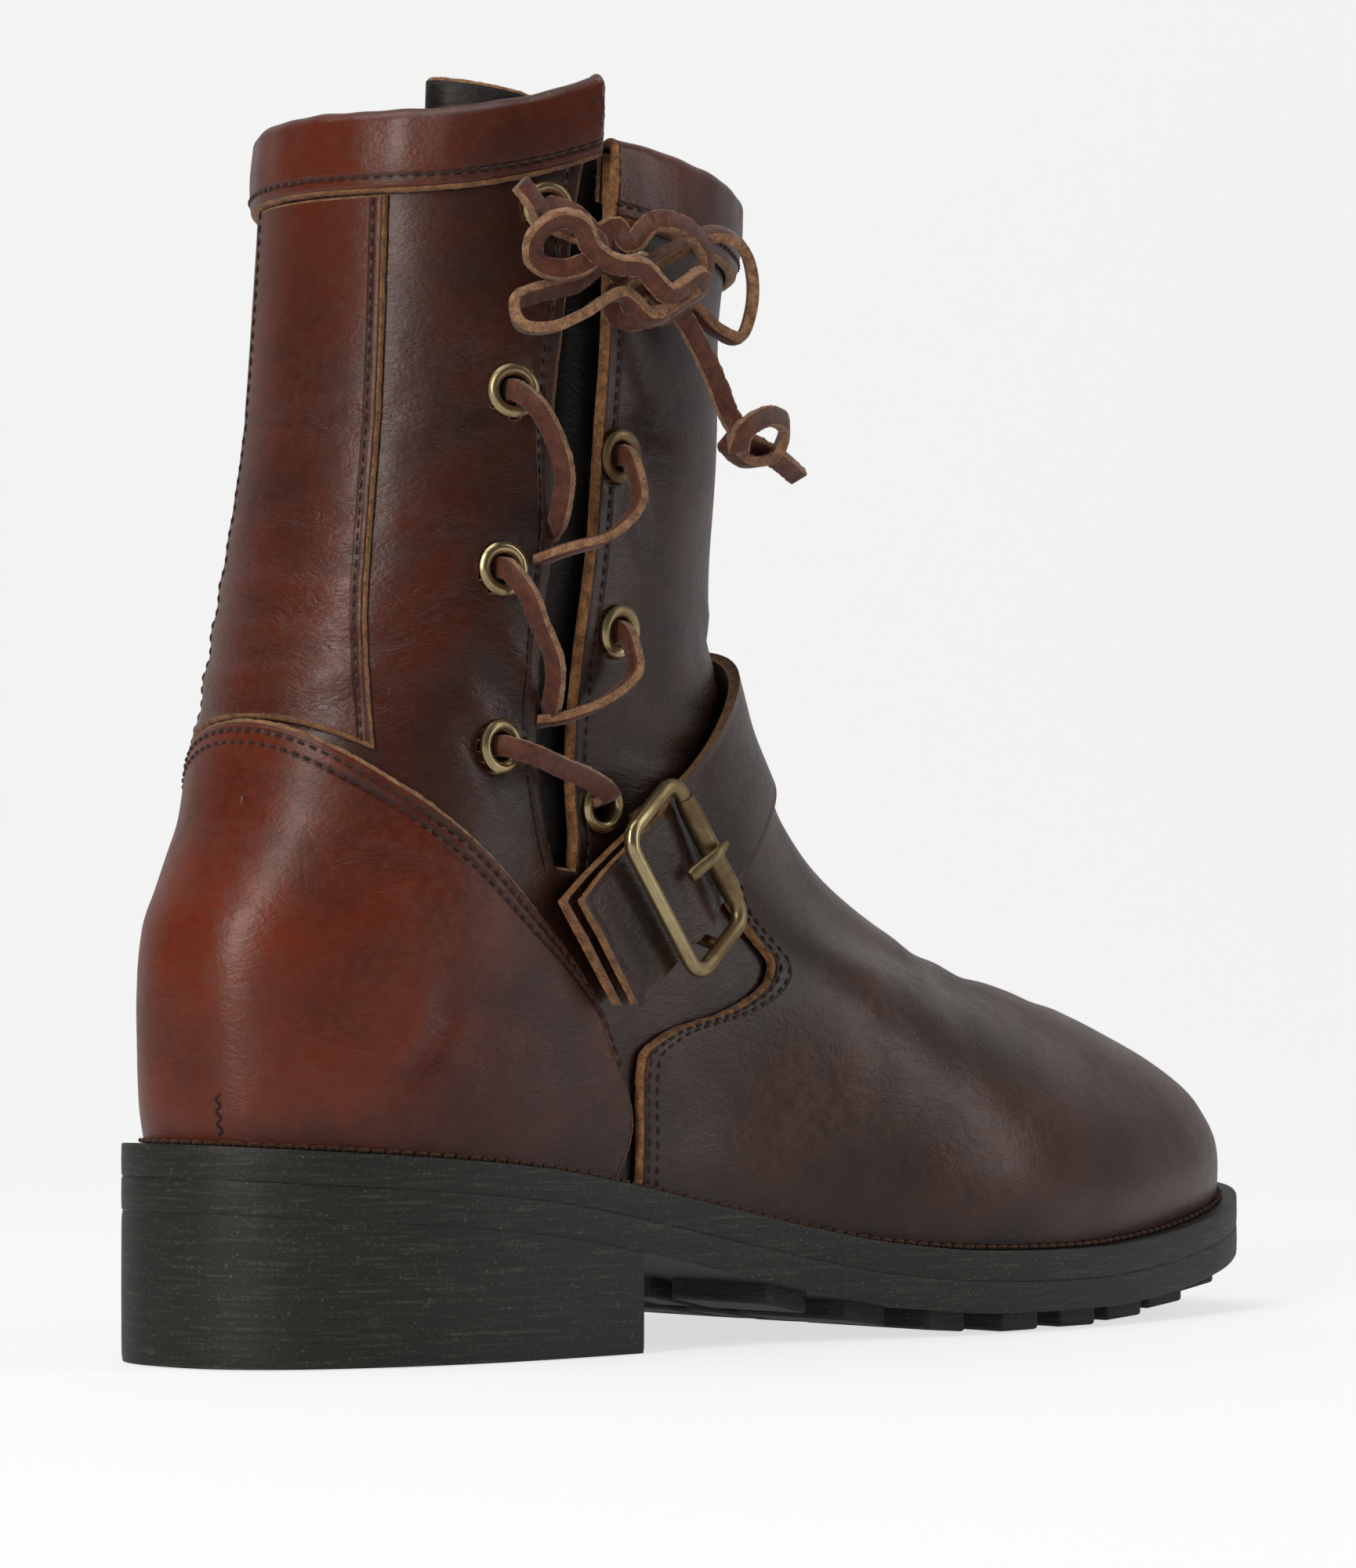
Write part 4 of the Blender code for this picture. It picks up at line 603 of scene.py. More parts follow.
SHAFT_LEATHER = pull_up_leather(
    "shaft_leather", (28, 15, 8), (54, 27, 15), (96, 36, 17), (74, 42, 27))
COUNTER_LEATHER = pull_up_leather(
    "counter_leather", (50, 17, 7), (80, 28, 11), (132, 48, 17), (118, 58, 34))
VAMP_LEATHER = pull_up_leather(
    "vamp_leather", (42, 21, 12), (66, 33, 19), (88, 40, 22), (102, 62, 42), rough=0.36)
BACKSTAY_FINISH = pull_up_leather(
    "backstay_leather", (44, 20, 11), (74, 32, 18), (108, 44, 24), (98, 56, 38))
CUFF_FINISH = pull_up_leather(
    "cuff_leather", (46, 19, 10), (80, 33, 18), (118, 48, 25), (108, 60, 40), rough=0.36, gloss=0.26)
STRAP_FINISH = pull_up_leather(
    "strap_leather", (34, 18, 10), (60, 31, 18), (86, 40, 23), (94, 56, 36), rough=0.38)


# %% Finishes: cut edges, flesh sides, thread
def napped(name, dark, light, size=1.0, depth=0.0003):
    made, tree, shader, place = start_material(name)
    nap = use_group(tree, NAP, Place=place, Size=size)
    colour = blend_colours(tree, nap["Shade"], tone(*dark), tone(*light))
    tree.links.new(colour, shader.inputs["Base Color"])
    shader.inputs["Roughness"].default_value = 0.86
    shader.inputs["Sheen Weight"].default_value = 0.25
    shader.inputs["Sheen Roughness"].default_value = 0.5
    bump = add(tree, "Bump", Strength=0.8, Distance=depth, Height=nap["Height"])
    tree.links.new(bump.outputs[0], shader.inputs["Normal"])
    return made


RAW_EDGE = napped("raw_edge", (104, 64, 34), (198, 142, 90))
FLESH_SIDE = napped("flesh_side", (28, 19, 14), (52, 37, 28), 0.7)
LACE_EDGE = napped("rawhide_edge", (112, 72, 48), (206, 156, 116), 1.0, 0.0004)
LACE_FACE = napped("rawhide_face", (74, 34, 21), (124, 66, 42), 0.8, 0.00012)
LACE_FACE.node_tree.nodes["Principled BSDF"].inputs["Roughness"].default_value = 0.55
INSOLE_FINISH = napped("insole_finish", (120, 84, 54), (158, 118, 82), 0.5, 0.0001)
THREAD = napped("waxed_thread", (22, 12, 9), (76, 42, 32), 1.6, 0.00015)
PALE_THREAD = napped("tan_thread", (50, 26, 15), (98, 58, 34), 1.6, 0.00015)
print("finishes so far:", len(bpy.data.materials))


# %% Helpers for meshes
def dress(name, points, faces, finishes, kinds=None, marks=None, slot="leather", stands_for=(), sharp=50.0):
    """Mesh piece of the boot: kinds picks a finish for each face, marks are values on its points."""
    mesh = bpy.data.meshes.new(name)
    mesh.from_pydata(np.asarray(points).tolist(), [], faces)
    for finish in finishes:
        mesh.materials.append(finish)
    if kinds is not None:
        mesh.polygons.foreach_set("material_index", np.asarray(kinds, dtype=np.int32))
    for mark, values in (marks or {}).items():
        layer = mesh.attributes.new(mark, "FLOAT", "POINT")
        layer.data.foreach_set("value", np.asarray(values, dtype=np.float32))
    mesh.shade_smooth()
    mesh.set_sharp_from_angle(angle=math.radians(sharp))
    piece = bpy.data.objects.new(name, mesh)
    bpy.context.collection.objects.link(piece)
    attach(piece, "root")
    if stands_for:
        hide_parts(*stands_for)
    print(f"{name}: {len(mesh.vertices)} points, {len(mesh.polygons)} faces")
    return piece


def curve_through(points, spacing):
    """Even points on a smooth curve through a route."""
    points = np.asarray(points, float)
    gaps = np.linalg.norm(np.diff(points, axis=0), axis=1)
    along = np.concatenate([[0], np.cumsum(np.sqrt(gaps))])
    tangent = np.gradient(points, along, axis=0)
    fine = np.linspace(0, along[-1], 60 * len(points))
    k = np.clip(np.searchsorted(along, fine, side="right") - 1, 0, len(along) - 2)
    step = (along[k + 1] - along[k])[:, None]
    t = (fine - along[k])[:, None] / step
    path = ((1 + 2 * t) * (1 - t) ** 2 * points[k] + t * (1 - t) ** 2 * step * tangent[k]
            + t * t * (3 - 2 * t) * points[k + 1] + t * t * (t - 1) * step * tangent[k + 1])
    length = path_length(path)
    even = np.linspace(0, length[-1], max(int(length[-1] / spacing), 2) + 1)
    return np.stack([np.interp(even, length, path[:, axis]) for axis in range(3)], axis=1)


def path_length(path):
    """Length from the start to each point of a path."""
    return np.concatenate([[0], np.cumsum(np.linalg.norm(np.diff(path, axis=0), axis=1))])


def unit(vectors):
    return vectors / np.maximum(np.linalg.norm(vectors, axis=-1, keepdims=True), 1e-12)


def turned_frames(path, first_up, twist=0.0):
    """Side and up directions that follow a path without needless twist, plus a steady twist."""
    tangent = unit(np.gradient(path, axis=0))
    up = np.array(first_up, float)
    sides, ups = [], []
    for number, t in enumerate(tangent):
        up = unit(up - t * (up @ t))
        angle = twist * number / (len(path) - 1)
        side = np.cross(t, up)
        ups.append(up * math.cos(angle) + side * math.sin(angle))
        sides.append(side * math.cos(angle) - up * math.sin(angle))
    return np.array(sides), np.array(ups)


def strip_section(width, thick, corner):
    """Rounded section of a cut strip: across and up, and whether the face after it is cut edge."""
    w, h = width / 2, thick / 2
    ring = []
    for sx, sy in ((1, 1), (-1, 1), (-1, -1), (1, -1)):
        near, far = (sx * w, sy * (h - corner)), (sx * (w - corner), sy * h)
        ring += [near, far] if sx * sy > 0 else [far, near]
    cut = [True, False, True, True, True, False, True, True]
    return np.array(ring), cut


def strip_mesh(path, sides, ups, width, thick, corner=0.00028, rag=0.0, seed=1, base=0):
    """Points, faces and finish numbers of a strip: 0 is its face, 1 its cut edge."""
    ring, cut = strip_section(width, thick, corner)
    chance = np.random.default_rng(seed)
    uneven = 1 + rag * chance.standard_normal((len(path), len(ring), 1)) * np.array(cut)[None, :, None]
    offsets = sides[:, None] * ring[None, :, :1] + ups[:, None] * ring[None, :, 1:]
    points = (path[:, None] + offsets * uneven).reshape(-1, 3)
    count, size = len(path), len(ring)
    faces, kinds = [], []
    for i in range(count - 1):
        for k in range(size):
            m = (k + 1) % size
            a = base + i * size
            faces.append([a + k, a + size + k, a + size + m, a + m])
            kinds.append(1 if cut[k] else 0)
    faces += [[base + k for k in range(size)], [base + (count - 1) * size + k for k in range(size)][::-1]]
    return points, faces, kinds + [1, 1]


print("a strip's section has", len(strip_section(3.0, 2.3, 0.4)[0]), "points")


# %% Where the rim and the eyelets are
def row_below_rim(down, turns):
    """Loop number at a distance down from the rim."""
    rows = np.linspace(TOP_ROW - 3, TOP_ROW, 13)
    found = []
    for turn in np.atleast_1d(turns):
        fall = np.linalg.norm(np.diff(on_upper(rows, turn), axis=0), axis=1)[::-1].cumsum()
        found.append(np.interp(down, np.concatenate([[0], fall]), rows[::-1]))
    return np.array(found)


def eyelet_seats():
    """Loop number and turn of each eyelet, rear ones first; the first pair sits under the cuff."""
    seats = []
    for drop, share, column in ((REAR_DROP, REAR_SHARE, EYELETS_REAR),
                                (FRONT_DROP, FRONT_SHARE, EYELETS_FRONT)):
        turn = float(turn_at(share))
        seats.append((float(row_below_rim(CUFF_DEPTH + drop + EYELET_FLANGE / 2, turn)[0]), turn))
        seats += [(float(row_at_height(s, float(height_of(h)))), float(turn_at(s))) for h, s in column]
    return seats


EYELET_SEATS = eyelet_seats()
EYELET_PLACES = [f"{flap}_{number}" for flap in ("rear", "front") for number in range(1, 5)]
for number, node in enumerate(EYELET_PLACES):
    low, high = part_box("eyelet_" + node)
    away = np.linalg.norm(on_upper(*EYELET_SEATS[number]) - (np.array(low) + np.array(high)) / 2)
    print("eyelet", node, "is", round(away / MM, 2), "mm from the CAD eyelet's middle")

# %% [markdown]
# The lace is rawhide cut into strips about 4 by 2 mm: smooth red-brown grain on one face, loose
# pale fibre on the cut edges. It is stiff, so it bends in wide curves and its ends stand off the
# shaft. The routes are points on the form (height, place round the shaft, distance out) read from
# the picture, so the bow keeps the picture's loops and ends. Two strands are free: one from each
# first eyelet. Both ends are cut square, and the front one has an open overhand knot near its end.

# %% The two free strands of the bow
def through_eyelet(number, out):
    row, turn = EYELET_SEATS[number]
    return on_upper(row, turn, out)


def route(stops):
    return [stop if isinstance(stop, np.ndarray) else over(*stop) for stop in stops]


FRONT_STRAND = route([
    through_eyelet(0, -0.0030), through_eyelet(0, 0.0026), (1.780, 0.315, 0.0062), (1.742, 0.352, 0.0072),
    (1.745, 0.385, 0.0078), (1.790, 0.398, 0.0100), (1.828, 0.425, 0.0125), (1.820, 0.493, 0.0138),
    (1.772, 0.548, 0.0128), (1.708, 0.532, 0.0108), (1.672, 0.460, 0.0092), (1.668, 0.400, 0.0072),
    (1.705, 0.400, 0.0058), (1.748, 0.448, 0.0062), (1.790, 0.505, 0.0085), (1.824, 0.560, 0.0125),
    (1.812, 0.612, 0.0145), (1.770, 0.645, 0.0150), (1.705, 0.660, 0.0145), (1.655, 0.652, 0.0128),
    (1.668, 0.615, 0.0098), (1.712, 0.560, 0.0068), (1.738, 0.505, 0.0040), (1.716, 0.490, 0.0062),
    (1.690, 0.518, 0.0090), (1.635, 0.562, 0.0108), (1.570, 0.608, 0.0120), (1.530, 0.632, 0.0126),
    (1.492, 0.640, 0.0150), (1.462, 0.612, 0.0178), (1.490, 0.592, 0.0205), (1.520, 0.640, 0.0212),
    (1.508, 0.715, 0.0198), (1.464, 0.735, 0.0170), (1.446, 0.690, 0.0138), (1.474, 0.648, 0.0118),
    (1.482, 0.690, 0.0120), (1.462, 0.760, 0.0155), (1.437, 0.830, 0.0180)])
REAR_STRAND = route([
    through_eyelet(4, -0.0030), through_eyelet(4, 0.0026), (1.748, 0.478, 0.0052), (1.722, 0.440, 0.0048),
    (1.690, 0.385, 0.0055), (1.672, 0.318, 0.0075), (1.668, 0.250, 0.0090), (1.654, 0.214, 0.0108),
    (1.616, 0.222, 0.0124), (1.605, 0.262, 0.0128), (1.618, 0.312, 0.0125), (1.640, 0.385, 0.0112),
    (1.668, 0.440, 0.0118), (1.700, 0.490, 0.0142), (1.722, 0.512, 0.0160), (1.738, 0.490, 0.0176),
    (1.706, 0.440, 0.0166), (1.676, 0.395, 0.0158), (1.690, 0.352, 0.0150), (1.722, 0.318, 0.0142),
    (1.762, 0.296, 0.0150), (1.778, 0.262, 0.0148), (1.756, 0.234, 0.0128), (1.722, 0.238, 0.0110),
    (1.698, 0.275, 0.0108), (1.702, 0.322, 0.0118), (1.730, 0.338, 0.0108), (1.756, 0.300, 0.0092),
    (1.788, 0.248, 0.0112), (1.822, 0.225, 0.0124), (1.850, 0.206, 0.0130)])


def free_strand(name, stops, start, twist, stands_for, seed):
    path = curve_through(stops, 0.0007)
    sides, ups = turned_frames(path, on_form(*EYELET_SEATS[start])[1], twist)
    points, faces, kinds = strip_mesh(path, sides, ups, LACE_WIDTH, LACE_THICK, rag=0.035, seed=seed)
    piece = dress(name, points, faces, [LACE_FACE, LACE_EDGE], kinds, None, "lace_leather", stands_for)
    through_eyelet(start, 0.0).tolist()
    return piece


free_strand("bow_front_strand", FRONT_STRAND, 0, 1.2,
            ["lace_lead_rear", "lace_loop_front", "lace_end_front", "lace_knot"], 3)
free_strand("bow_rear_strand", REAR_STRAND, 4, -0.8, ["lace_loop_low", "lace_end_rear"], 4)

# %% [markdown]
# Below the bow the lace crosses the slit: each arc comes out of an eyelet, swings over and dips at
# the other flap's edge, where the real lace slips under it. At the bottom one straight bar joins the
# last pair of eyelets. The arcs stay short pieces, since the run behind the leather isn't seen.

# %% Lace between the eyelets
CROSSINGS = {
    "lace_cross_2": [(1, [(1.480, 0.272, 0.0062), (1.430, 0.305, 0.0064), (1.370, 0.335, 0.0060),
                          (1.300, 0.352, 0.0030), (1.270, 0.375, -0.0030)]),
                     (5, [(1.405, 0.482, 0.0060), (1.360, 0.490, 0.0068), (1.300, 0.440, 0.0066),
                          (1.245, 0.365, 0.0040), (1.225, 0.335, -0.0028)])],
    "lace_cross_3": [(2, [(1.180, 0.288, 0.0062), (1.130, 0.315, 0.0064), (1.075, 0.348, 0.0062),
                          (1.010, 0.368, 0.0030), (0.985, 0.392, -0.0030)]),
                     (6, [(1.105, 0.522, 0.0060), (1.070, 0.520, 0.0068), (1.025, 0.468, 0.0066),
                          (0.990, 0.395, 0.0040), (0.975, 0.362, -0.0028)])],
    "lace_cross_4": [(3, [(0.925, 0.305, 0.0060), (0.912, 0.350, 0.0058), (0.895, 0.410, 0.0058),
                          (0.872, 0.450, 0.0056), (0.852, 0.465, -0.0030)])],
}
for name, arcs in CROSSINGS.items():
    points, faces, kinds = [], [], []
    for number, stops in arcs:
        ends = [through_eyelet(number, -0.0035), through_eyelet(number, 0.0022)]
        path = curve_through(route(ends + stops), 0.0006)
        sides, ups = turned_frames(path, [0.2, 0.0, 1.0], 0.5)
        more = strip_mesh(path, sides, ups, LACE_THICK, LACE_WIDTH, rag=0.03, seed=number, base=len(points))
        points += more[0].tolist()
        faces += more[1]
        kinds += [1 - kind for kind in more[2]]
    dress(name.replace("cross", "arc"), points, faces, [LACE_FACE, LACE_EDGE], kinds, None,
          "lace_leather", [name])

# %% [markdown]
# Creases are listed, each as a line on the form with a depth and a width: a soft trough
# with a low ridge on both sides. They gather where the boot bends, at the ankle, over the instep
# and across the ball, and pull from the eyelets. Upper, counter, vamp, backstay and cuff follow them.

# %% Creases of the worn leather
CREASES = [
    (0.50, 3.0, [(1.02, -0.24), (1.00, -0.06), (0.99, 0.02), (1.01, 0.12), (1.05, 0.25)]),
    (0.45, 2.6, [(1.10, -0.17), (1.09, 0.00), (1.11, 0.10), (1.16, 0.21)]),
    (0.40, 2.4, [(1.18, -0.12), (1.16, 0.01), (1.17, 0.08), (1.21, 0.16)]),
    (0.35, 2.2, [(1.26, -0.09), (1.24, 0.00), (1.25, 0.08), (1.28, 0.13)]),
    (0.30, 2.0, [(1.35, -0.07), (1.33, 0.02), (1.35, 0.10)]),
    (0.35, 2.0, [(1.50, -0.05), (1.49, 0.03), (1.51, 0.09)]),
    (0.60, 3.0, [(1.07, 0.22), (1.02, 0.29), (0.95, 0.33)]),
    (0.55, 2.6, [(0.97, 0.18), (0.93, 0.24), (0.86, 0.29)]),
    (0.40, 2.2, [(1.50, 0.215), (1.46, 0.16), (1.43, 0.10)]),
    (0.42, 2.2, [(1.21, 0.235), (1.16, 0.17), (1.14, 0.10)]),
    (0.40, 2.0, [(1.55, 0.215), (1.59, 0.15), (1.60, 0.09)]),
    (0.35, 1.8, [(1.26, 0.235), (1.29, 0.17), (1.30, 0.11)]),
    (0.45, 2.4, [(1.41, 0.515), (1.32, 0.56), (1.25, 0.64), (1.22, 0.74)]),
    (0.50, 2.4, [(1.47, 0.520), (1.51, 0.59), (1.53, 0.70), (1.52, 0.84)]),
    (0.40, 2.2, [(1.44, 0.530), (1.43, 0.62), (1.40, 0.74)]),
    (0.60, 2.8, [(1.11, 0.560), (1.05, 0.63), (1.01, 0.73), (1.00, 0.87), (1.02, 1.05)]),
    (0.55, 2.6, [(1.17, 0.570), (1.15, 0.66), (1.13, 0.78), (1.14, 0.95), (1.15, 1.15)]),
    (0.80, 3.2, [(0.86, 0.500), (0.86, 0.62), (0.88, 0.78), (0.90, 0.95), (0.89, 1.15), (0.86, 1.35)]),
    (0.80, 3.2, [(0.95, 0.540), (0.94, 0.66), (0.95, 0.82), (0.96, 1.00), (0.95, 1.20), (0.93, 1.40)]),
    (0.55, 2.6, [(0.80, 0.350), (0.75, 0.40), (0.70, 0.46), (0.68, 0.52)]),
    (0.45, 2.4, [(0.72, 0.340), (0.66, 0.38), (0.61, 0.42)]),
    (0.38, 3.8, [(0.36, 0.600), (0.46, 0.67), (0.54, 0.80), (0.57, 1.00), (0.54, 1.20), (0.46, 1.33),
                 (0.36, 1.40)]),
    (0.34, 3.4, [(0.40, 0.540), (0.50, 0.61), (0.58, 0.76), (0.61, 1.00), (0.58, 1.24), (0.50, 1.39),
                 (0.40, 1.46)]),
    (0.26, 3.2, [(0.34, 0.660), (0.43, 0.74), (0.505, 0.87), (0.52, 1.00), (0.505, 1.13), (0.43, 1.26),
                 (0.34, 1.34)]),
    (0.45, 2.6, [(0.42, 0.100), (0.50, 0.135), (0.60, 0.15)]),
    (0.35, 2.4, [(0.78, 0.05), (0.76, 0.11), (0.73, 0.16)]),
    (0.60, 2.8, [(1.02, -0.30), (0.96, -0.42), (0.93, -0.56)]),
    (0.50, 2.6, [(1.12, -0.26), (1.08, -0.38), (1.06, -0.55)]),
]


def turn_of(place):
    """Turn of a place round the shaft: 0 back, 1 front, below 0 and above 1 on the inner side."""
    place = np.asarray(place, float)
    past_front = np.where(place > 1, 2 * math.pi - turn_at(2 - place), turn_at(place))
    return np.where(place < 0, -turn_at(-place), past_front)


def line_on_form(stops, spacing=0.0006):
    """Close points of a line on the outer face, through stops of height share and place."""
    places = np.array([place for _, place in stops])
    shares = np.where(places < 0, -places, np.where(places > 1, 2 - places, places))
    rows = np.array([float(row_at_height(s, float(height_of(h)))) for (h, _), s in zip(stops, shares)])
    seats = curve_through(np.stack([rows, 10 * turn_of(places), 0 * rows], axis=1), 0.05)
    path = on_upper(seats[:, 0], seats[:, 1] / 10)
    length = path_length(path)
    even = np.linspace(0, length[-1], int(length[-1] / spacing) + 2)
    return np.stack([np.interp(even, length, path[:, axis]) for axis in range(3)], axis=1)


def distance_to(points, line, reach):
    """Distance from each point to a line of close points, up to reach, and its place along it."""
    away, place = np.full(len(points), reach), np.zeros(len(points))
    inside = ((points > line.min(axis=0) - reach) & (points < line.max(axis=0) + reach)).all(axis=1)
    direction = unit(np.gradient(line, axis=0))
    spacing = np.linalg.norm(line[1] - line[0])
    chosen = np.flatnonzero(inside)
    for part in np.array_split(chosen, len(chosen) // 3000 + 1):
        if len(part):
            gaps = points[part][:, None] - line[None]
            k = (gaps ** 2).sum(axis=2).argmin(axis=1)
            rest = gaps[np.arange(len(part)), k]
            slide = np.clip((rest * direction[k]).sum(axis=1), -spacing, spacing)
            rest = rest - direction[k] * slide[:, None]
            away[part] = np.minimum(np.linalg.norm(rest, axis=1), reach)
            place[part] = k / (len(line) - 1)
    return away, place


CREASE_LINES = [(depth * MM, width * MM, line_on_form(stops)) for depth, width, stops in CREASES]


def relief(points):
    """How far the leather stands out of the form at these points, and how creased it is."""
    lift, creased = np.zeros(len(points)), np.zeros(len(points))
    for depth, width, line in CREASE_LINES:
        away, place = distance_to(points, line, 3.2 * width)
        strength = np.sin(math.pi * np.clip(place, 0.03, 0.97)) ** 0.6
        trough = np.exp(-(away / width) ** 2)
        ridge = np.exp(-((away - 1.9 * width) / (0.9 * width)) ** 2)
        lift += depth * strength * (0.42 * ridge - trough)
        creased = np.maximum(creased, strength * np.exp(-(away / (2.4 * width)) ** 2))
    x, y, z = (points / 0.021).T
    swell = np.sin(1.3 * x + 2.1 * y - 1.7 * z) + np.sin(2.3 * z + 0.9 * y + 1.1) * np.cos(1.9 * x)
    lift += 0.00022 * swell
    above = points[:, 2] - sole_top(points[:, 1] + ORIGIN[1])
    return np.clip(lift, -0.0012, 0.0008) * np.clip((above - 0.003) / 0.012, 0, 1), creased


print("creases:", len(CREASES), "points on their lines:", sum(len(line) for _, _, line in CREASE_LINES))


# %% Slabs of leather with cut edges
def grid_faces(rows, columns, closed, holes=None):
    last = columns if closed else columns - 1
    i, j = np.meshgrid(np.arange(rows - 1), np.arange(last), indexing="ij")
    k = (j + 1) % columns
    low, high = i * columns, (i + 1) * columns
    faces = np.stack([low + j, low + k, high + k, high + j], axis=-1)
    keep = np.ones(i.shape, bool) if holes is None else ~holes[:, :last]
    return faces[keep]


def slab(name, outer, inner, finishes, marks, closed=False, holes=None, bulge=0.00035,
         slant=0.0006, **more):
    """Solid between two grids of points. Its open edges get a rounded, slanting rim of cut leather."""
    rows, columns = outer.shape[:2]
    count = rows * columns
    top = grid_faces(rows, columns, closed, holes)
    out_points, in_points = outer.reshape(-1, 3), inner.reshape(-1, 3)
    edges = np.concatenate([top[:, [a, (a + 1) % 4]] for a in range(4)])
    one_way = set(map(tuple, edges.tolist()))
    rim = np.array([edge for edge in one_way if (edge[1], edge[0]) not in one_way])
    normal = unit(out_points - in_points)
    away = np.zeros_like(out_points)
    for end in (0, 1):
        step = out_points[rim[:, 1]] - out_points[rim[:, 0]]
        np.add.at(away, rim[:, end], np.cross(step, normal[rim[:, end]]))
    away = unit(away)
    on_rim = np.unique(rim)
    out_points = out_points.copy()
    out_points[on_rim] -= away[on_rim] * slant
    place = {int(v): n for n, v in enumerate(on_rim)}
    chance = np.random.default_rng(len(name))
    rings = []
    for depth, push in ((0.14, 0.62), (0.40, 1.0), (0.68, 0.94), (0.90, 0.55)):
        rag = push + 0.16 * chance.standard_normal((len(on_rim), 1))
        rings.append(out_points[on_rim] * (1 - depth) + in_points[on_rim] * depth
                     + away[on_rim] * bulge * rag)
    points = np.concatenate([out_points, in_points] + rings)
    faces = top.tolist() + (top[:, ::-1] + count).tolist()
    kinds = [0] * len(top) + [2] * len(top)
    a, b = rim[:, 0], rim[:, 1]
    ia, ib = np.array([place[int(v)] for v in a]), np.array([place[int(v)] for v in b])
    ring_starts = [2 * count + n * len(on_rim) for n in range(4)]
    levels = [(a, b)] + [(start + ia, start + ib) for start in ring_starts]
    levels.append((a + count, b + count))
    for (a0, b0), (a1, b1) in zip(levels, levels[1:]):
        faces += np.stack([b0, a0, a1, b1], axis=1).tolist()
        kinds += [1] * len(rim)
    used = np.unique(np.concatenate([np.array(f) for f in (top.ravel(), top.ravel() + count)]))
    keep = np.concatenate([used, np.arange(2 * count, len(points))])
    new_place = np.full(len(points), -1)
    new_place[keep] = np.arange(len(keep))
    faces = new_place[np.array(faces)].tolist()
    full_marks = {key: np.concatenate([value, value] + [value[on_rim]] * 4)[keep]
                  for key, value in marks.items()}
    return dress(name, points[keep], faces, finishes, kinds, full_marks, **more)


def paint(points, lift, creased, brims=(), seams=()):
    """Values for the finish: distances to edge and stitch line in mm, wear, warm tone with a painted glow
    on the heel, and creasing.
    """
    brim, seam = np.full(len(points), 10.0), np.full(len(points), 10.0)
    for line in brims:
        brim = np.minimum(brim, distance_to(points, line, 0.010)[0] / MM)
    for line in seams:
        seam = np.minimum(seam, distance_to(points, line, 0.004)[0] / MM)
    x, y, z = points.T
    # Painted glow: a lighter, warmer patch low on the heel's back where the light falls; it feeds warm tone
    # and rub.
    heel = np.exp(-((y + 0.036) / 0.036) ** 2) * np.exp(-((z - 0.074) / 0.042) ** 2)
    back = np.exp(-((y + 0.012) / 0.020) ** 2) * np.clip((z - 0.10) / 0.04, 0, 1) * 0.75
    collar = np.clip((z - 0.205) / 0.03, 0, 1) * 0.35
    toe = np.exp(-((y - 0.19) / 0.05) ** 2) * 0.35
    ridge = np.clip(lift / 0.0004, 0, 1)
    return {"brim": brim, "seam": seam, "crease": 0.25 + 0.75 * creased,
            "warmth_and_glow": np.clip(heel + back + collar + toe + 0.25 * ridge, 0, 1),
            "rub_and_glow": np.clip(0.55 * np.exp(-brim / 2.2) + 0.35 * ridge + 0.25 * heel, 0, 1)}


def leather_panel(name, rows, turns, low, high, finishes, brims=(), seams=(), **more):
    base = on_upper(rows, turns).reshape(-1, 3)
    lift, creased = relief(base)
    marks = paint(base, lift, creased, brims, seams)
    lift = lift.reshape(rows.shape)
    return slab(name, on_upper(rows, turns, high + lift), on_upper(rows, turns, low + lift),
                finishes, marks, **more)


def line_in_from_edge(rows, turns, inset, edge="last"):
    """Loop numbers and turns of a line beside a grid's edge: its last row, or its first row."""
    if edge == "first":
        rows, turns = rows[::-1], turns[::-1]
    found = []
    for column in range(rows.shape[1]):
        line = on_upper(rows[::-1, column], turns[::-1, column])
        length = path_length(line)
        found.append((np.interp(inset, length, rows[::-1, column]),
                      np.interp(inset, length, turns[::-1, column])))
    return np.array(found).T


print("a raw edge is rounded by four rows of points")


# %% Stitches
CAPSULE = ((-1.0, 0.5, -0.9), (-0.72, 1.0, -0.1), (0.0, 1.05, 0.35), (0.72, 1.0, -0.1), (1.0, 0.5, -0.9))


